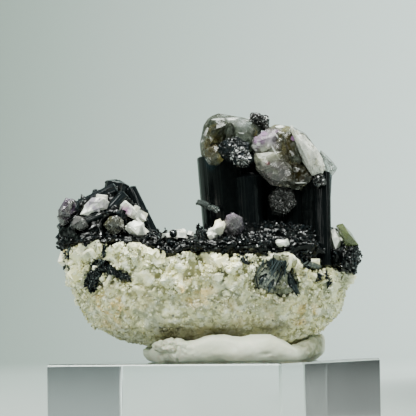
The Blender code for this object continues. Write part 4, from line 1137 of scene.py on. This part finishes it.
def make_inclusions(white, purple, olive):
    """Sheets inside the two large fluorites: place, depth, half widths, lean across and up, spin, copies."""
    rng = np.random.default_rng(51)
    plans = (
        ("fluorite_veils_white", white, (
            # Bright cleavage edges down the front, and their short neighbours
            (9.7, 53.9, -7.9, (1.9, 0.13), (0.2, 0.2), -0.98, 1),
            (8.2, 53.6, -7.8, (1.0, 0.11), (0.2, 0.2), -1.0, 1),
            (9.9, 56.4, -7.0, (1.0, 0.10), (0.3, 0.2), -1.1, 1),
            (7.4, 54.9, -7.2, (1.0, 0.8), (-0.3, 0.1), 0.2, 2),
            (6.5, 54.6, -6.6, (0.5, 0.7), (-0.4, 0.1), 0.8, 1),
            (8.3, 57.2, -5.4, (1.3, 0.5), (0.3, 0.5), 0.5, 2),
            (10.4, 58.0, -3.4, (1.0, 0.35), (0.1, 0.8), 0.0, 2),
            # Curved cracks at the lower left
            (8.2, 51.2, -8.1, (1.2, 0.07), (0.0, 0.4), 0.42, 1),
            (10.3, 51.9, -7.9, (1.1, 0.07), (0.1, 0.3), 0.55, 1),
            (10.6, 49.6, -7.9, (1.2, 0.06), (0.1, 0.2), 0.85, 1),
            (13.6, 49.0, -6.9, (1.3, 0.08), (0.2, -0.2), 0.1, 1),
            # The pale triangle and the lit top edge of the left crystal
            (4.3, 57.9, -5.2, (1.0, 0.9), (0.2, 0.3), 0.3, 1),
            (1.6, 59.2, -4.2, (2.4, 0.3), (0.0, 0.6), -0.05, 2),
            (-1.7, 56.8, -4.6, (1.5, 0.3), (-0.5, 0.1), 1.35, 1),
            (-0.4, 52.9, -5.4, (0.9, 0.5), (0.1, 0.1), 0.5, 1),
        )),
        ("fluorite_zones_purple", purple, (
            (6.7, 55.3, -7.2, (0.5, 0.9), (-0.3, 0.2), 0.3, 2),
            (7.5, 56.2, -7.2, (0.9, 0.5), (0.2, 0.4), 0.1, 2),
            (8.7, 53.2, -8.0, (0.9, 0.3), (0.1, 0.1), -0.9, 1),
            (12.6, 56.0, -6.8, (0.4, 0.5), (0.2, 0.1), 0.0, 1),
            (9.8, 57.3, -6.6, (1.0, 0.4), (0.2, 0.4), 0.4, 1),
        )),
        ("fluorite_zones_olive", olive, (
            (11.3, 55.2, -6.4, (1.5, 2.2), (0.1, 0.1), 0.0, 2),
            (11.6, 52.6, -6.6, (1.6, 1.8), (0.2, 0.1), 0.4, 2),
            (13.4, 50.4, -6.2, (1.6, 1.9), (0.2, -0.1), 0.3, 2),
            (11.6, 49.4, -6.6, (1.2, 0.9), (0.1, -0.1), 0.0, 1),
            (0.2, 57.3, -4.6, (1.5, 1.3), (0.0, 0.1), 0.2, 2),
            (-0.9, 54.8, -4.6, (0.8, 1.5), (-0.1, 0.0), 0.1, 2),
            (6.0, 57.2, -4.0, (1.1, 0.8), (0.0, 0.1), -0.2, 2),
            (2.4, 56.6, -3.6, (1.6, 1.4), (0.0, 0.0), 0.6, 2),
        )),
    )
    for name, look, sheets in plans:
        form = Form()
        for x, z, y, half_widths, lean, spin, copies in sheets:
            for n in range(copies):
                offset = rng.normal(size=3) * 0.12 * (1 + 2 * n)
                place = np.array(seen_at(x, z, y)) + offset
                shrink = 1 - 0.22 * n
                normal = np.array((lean[0], -1.0, lean[1])) + 0.1 * rng.normal(size=3)
                sizes = (half_widths[0] * shrink, half_widths[1] * shrink, 0.03)
                add_sheet(form, place, sizes, normal, spin + 0.1 * rng.normal(), rng)
        form.to_piece(name, look, "fluorite")


def add_lump(form, centre, radii, seed, subdivisions=4, smooth=True):
    """A small uneven lump."""
    bm = bmesh.new()
    bmesh.ops.create_icosphere(bm, subdivisions=subdivisions, radius=1)
    for vert in bm.verts:
        place = vert.co + Vector((seed, 0.0, 0.0))
        swell = 1 + 0.22 * noise.noise(place * 1.6) + 0.12 * noise.noise(place * 4.0)
        vert.co = Vector(centre) + Vector(n * r for n, r in zip(vert.co * swell, radii))
    bm.verts.index_update()
    points = [vert.co[:] for vert in bm.verts]
    triangles = [[vert.index for vert in face.verts] for face in bm.faces]
    bm.free()
    form.add(points, [triangles], 0.5, smooth)


def bell(point, centre, widths):
    """1 at the centre, falling off over the widths."""
    return math.exp(-float(np.sum(((point - centre) / widths) ** 2)))


def make_putty(look):
    """The pressed pad, with pinched folds at its left end and a small nick in front."""
    form = Form()
    points, faces, normals = remeshed("mounting_putty", voxel=0.3, smoothing=2)
    fold_centre = np.array(seen_at(-6.8, 23.0, -8.0))
    nick = np.array(seen_at(8.3, 21.7, -11.0))
    for n, (point, normal) in enumerate(zip(points.copy(), normals)):
        place = Vector(point)
        swell = sum(height * noise.noise(place * scale) for height, scale in PUTTY_SWELLS)
        rough = max(0.0, 1 - (place - ROUGH_SHADED_LOBE).length / 5.5)
        swell += rough * (0.5 * noise.noise(place * 1.5) + 0.25 * noise.noise(place * 3.6))
        crease = abs(noise.noise(Vector((point[0] * 0.6, point[1] * 0.4, point[2] * 1.1 + 9))))
        swell += bell(point, fold_centre, (3.2, 4.0, 2.2)) * (0.3 - 4.0 * (0.2 - min(0.2, crease)))
        swell += 0.35 * bell(point, nick + (0.9, 0, -0.25), (0.5, 1.2, 0.35))
        swell -= 0.7 * bell(point, nick, (1.0, 1.2, 0.3))
        points[n] = point + normal * swell
    # The crest is lower between its two humps and falls off sooner at its right end
    across = np.interp(points[:, 0], CREST_DROPS[0], CREST_DROPS[1])
    front = np.clip((-5.5 - points[:, 1]) / 2.5, 0, 1)
    points[:, 2] -= across * front * np.clip((points[:, 2] - BLOCK_TOP) / 4.0, 0, 1)
    # The foot is pressed on the block
    share = np.clip((BLOCK_TOP + 0.7 - points[:, 2]) / 0.4, 0, 1)
    points[:, 2] = np.maximum(points[:, 2] - 0.35 * share, BLOCK_TOP + 0.02)
    form.add(points, faces, 0.5, smooth=True)
    for seed, (x, z, y, radii) in enumerate(PUTTY_FOLDS):
        add_lump(form, seen_at(x, z, y), radii, 7.0 * seed)
    form.to_piece("putty_pad", look, "putty", "mounting_putty")


def make_stage():
    """A pale floor that sweeps up into a wall all the way round, in millimetres."""
    flat, bend, wall, around = 1300.0, 400.0, 1500.0, 96
    profile = [(200.0, 0.0), (600.0, 0.0), (flat, 0.0)]
    for n in range(1, 13):
        turn = n * math.pi / 24
        profile.append((flat + bend * math.sin(turn), bend * (1 - math.cos(turn))))
    profile.append((flat + bend, wall))
    angles = np.arange(around) * 2 * math.pi / around
    points = [(r * math.cos(a), r * math.sin(a), z) for r, z in profile for a in angles]
    points.append((0.0, 0.0, 0.0))
    faces = []
    for inner in range(0, len(points) - 1 - around, around):
        for n in range(around):
            here, after = inner + n, inner + (n + 1) % around
            faces.append((here, here + around, after + around, after))
    faces += [(n, (n + 1) % around, len(points) - 1) for n in range(around)]
    obj = object_of(np.array(points) * MM, faces)
    obj.name = "studio_floor"
    obj.data.materials.append(stage_look())
    for face in obj.data.polygons:
        face.use_smooth = True


def area_light(name, place, target, size, power):
    data = bpy.data.lights.new(name, "AREA")
    data.shape = "RECTANGLE"
    data.size, data.size_y = size
    data.energy = power
    data.color = (0.96, 1.0, 0.945)
    obj = link_object(name, data)
    obj.location = Vector(place)
    obj.rotation_euler = (Vector(target) - Vector(place)).to_track_quat("-Z", "Y").to_euler()


def make_lights():
    middle = (0.0, 0.0, 0.045)
    area_light("softbox_top", (0.0, -0.10, 0.85), middle, (0.60, 0.46), 21.0)
    area_light("softbox_left", (-0.85, -0.62, 0.62), middle, (0.35, 0.45), 7.5)
    area_light("softbox_right", (0.80, -0.60, 0.60), middle, (0.35, 0.45), 6.5)
    area_light("softbox_front", (-0.25, -0.72, 0.86), middle, (0.30, 0.25), 7.0)
    area_light("spark_top", (0.12, -0.32, 0.62), middle, (0.05, 0.05), 1.6)
    area_light("backdrop", (0.2, 0.95, 1.15), (0.1, 1.65, 0.10), (0.5, 0.5), 7.0)
    world = bpy.data.worlds.new("studio")
    world.use_nodes = True
    background = world.node_tree.nodes["Background"]
    background.inputs["Color"].default_value = (0.95, 1.0, 0.97, 1.0)
    background.inputs["Strength"].default_value = 0.35
    bpy.context.scene.world = world


def make_camera():
    data = bpy.data.cameras.new("photo_camera")
    data.sensor_width = SENSOR
    data.lens = SENSOR * (TARGET - EYE).length / PICTURE_WIDTH
    data.clip_start = 0.02
    data.clip_end = 20.0
    obj = link_object("photo_camera", data)
    obj.location = EYE * MM
    aim = (TARGET - EYE).to_track_quat("-Z", "Y")
    obj.rotation_euler = (aim @ Quaternion((0, 0, 1), -ROLL)).to_euler()
    bpy.context.scene.camera = obj


def main():
    make_camera()
    make_stage()
    make_lights()
    veins = vein_places(np.random.default_rng(61))
    schorl = schorl_look()
    blue = schorl_look("tourmaline_blue", (0.003, 0.005, 0.006), (0.045, 0.062, 0.064))
    grey = schorl_look("tourmaline_grey", (0.02, 0.028, 0.03), (0.13, 0.15, 0.145))
    bright = schorl_look("schorl_bright", (0.006, 0.006, 0.0055), (0.016, 0.016, 0.015), 1.0)
    pitted = schorl_look("schorl_pitted", (0.004, 0.004, 0.004), (0.010, 0.010, 0.009), 0.42)
    glint = schorl_look("schorl_glint", (0.40, 0.41, 0.41), (0.70, 0.71, 0.70))
    fluorites = {name: fluorite_look(name, *values) for name, values in FLUORITE_LOOKS.items()}
    smoky = fluorites["fluorite_smoky"]
    make_rock(feldspar_look(), veins)
    make_crust(schorl, bright)
    make_tower(schorl, pitted, schorl_look("schorl_dull", mirror=0.06))
    make_small_schorl(schorl, bright, glint)
    make_white_feldspars(
        white_feldspar_look(), white_feldspar_look("feldspar_streaky", 0.35, (1.6, 1.6, 0.3), 0.5)
    )
    make_tufts(schorl, blue, grey, veins)
    make_fluorites(fluorites)
    make_pocket_shards(fluorites["fluorite_pocket_olive"], smoky)
    make_sheaves(smoky)
    make_inclusions(
        veil_look("veil_white", (0.90, 0.91, 0.87), 0.62),
        veil_look("zone_purple", (0.36, 0.18, 0.38), 0.7),
        veil_look("zone_olive", (0.09, 0.08, 0.028), 0.85),
    )
    make_putty(putty_look())
    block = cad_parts["display_block"]
    block.data.materials.clear()
    block.data.materials.append(acrylic_look())


main()

bpy.context.view_layer.update()
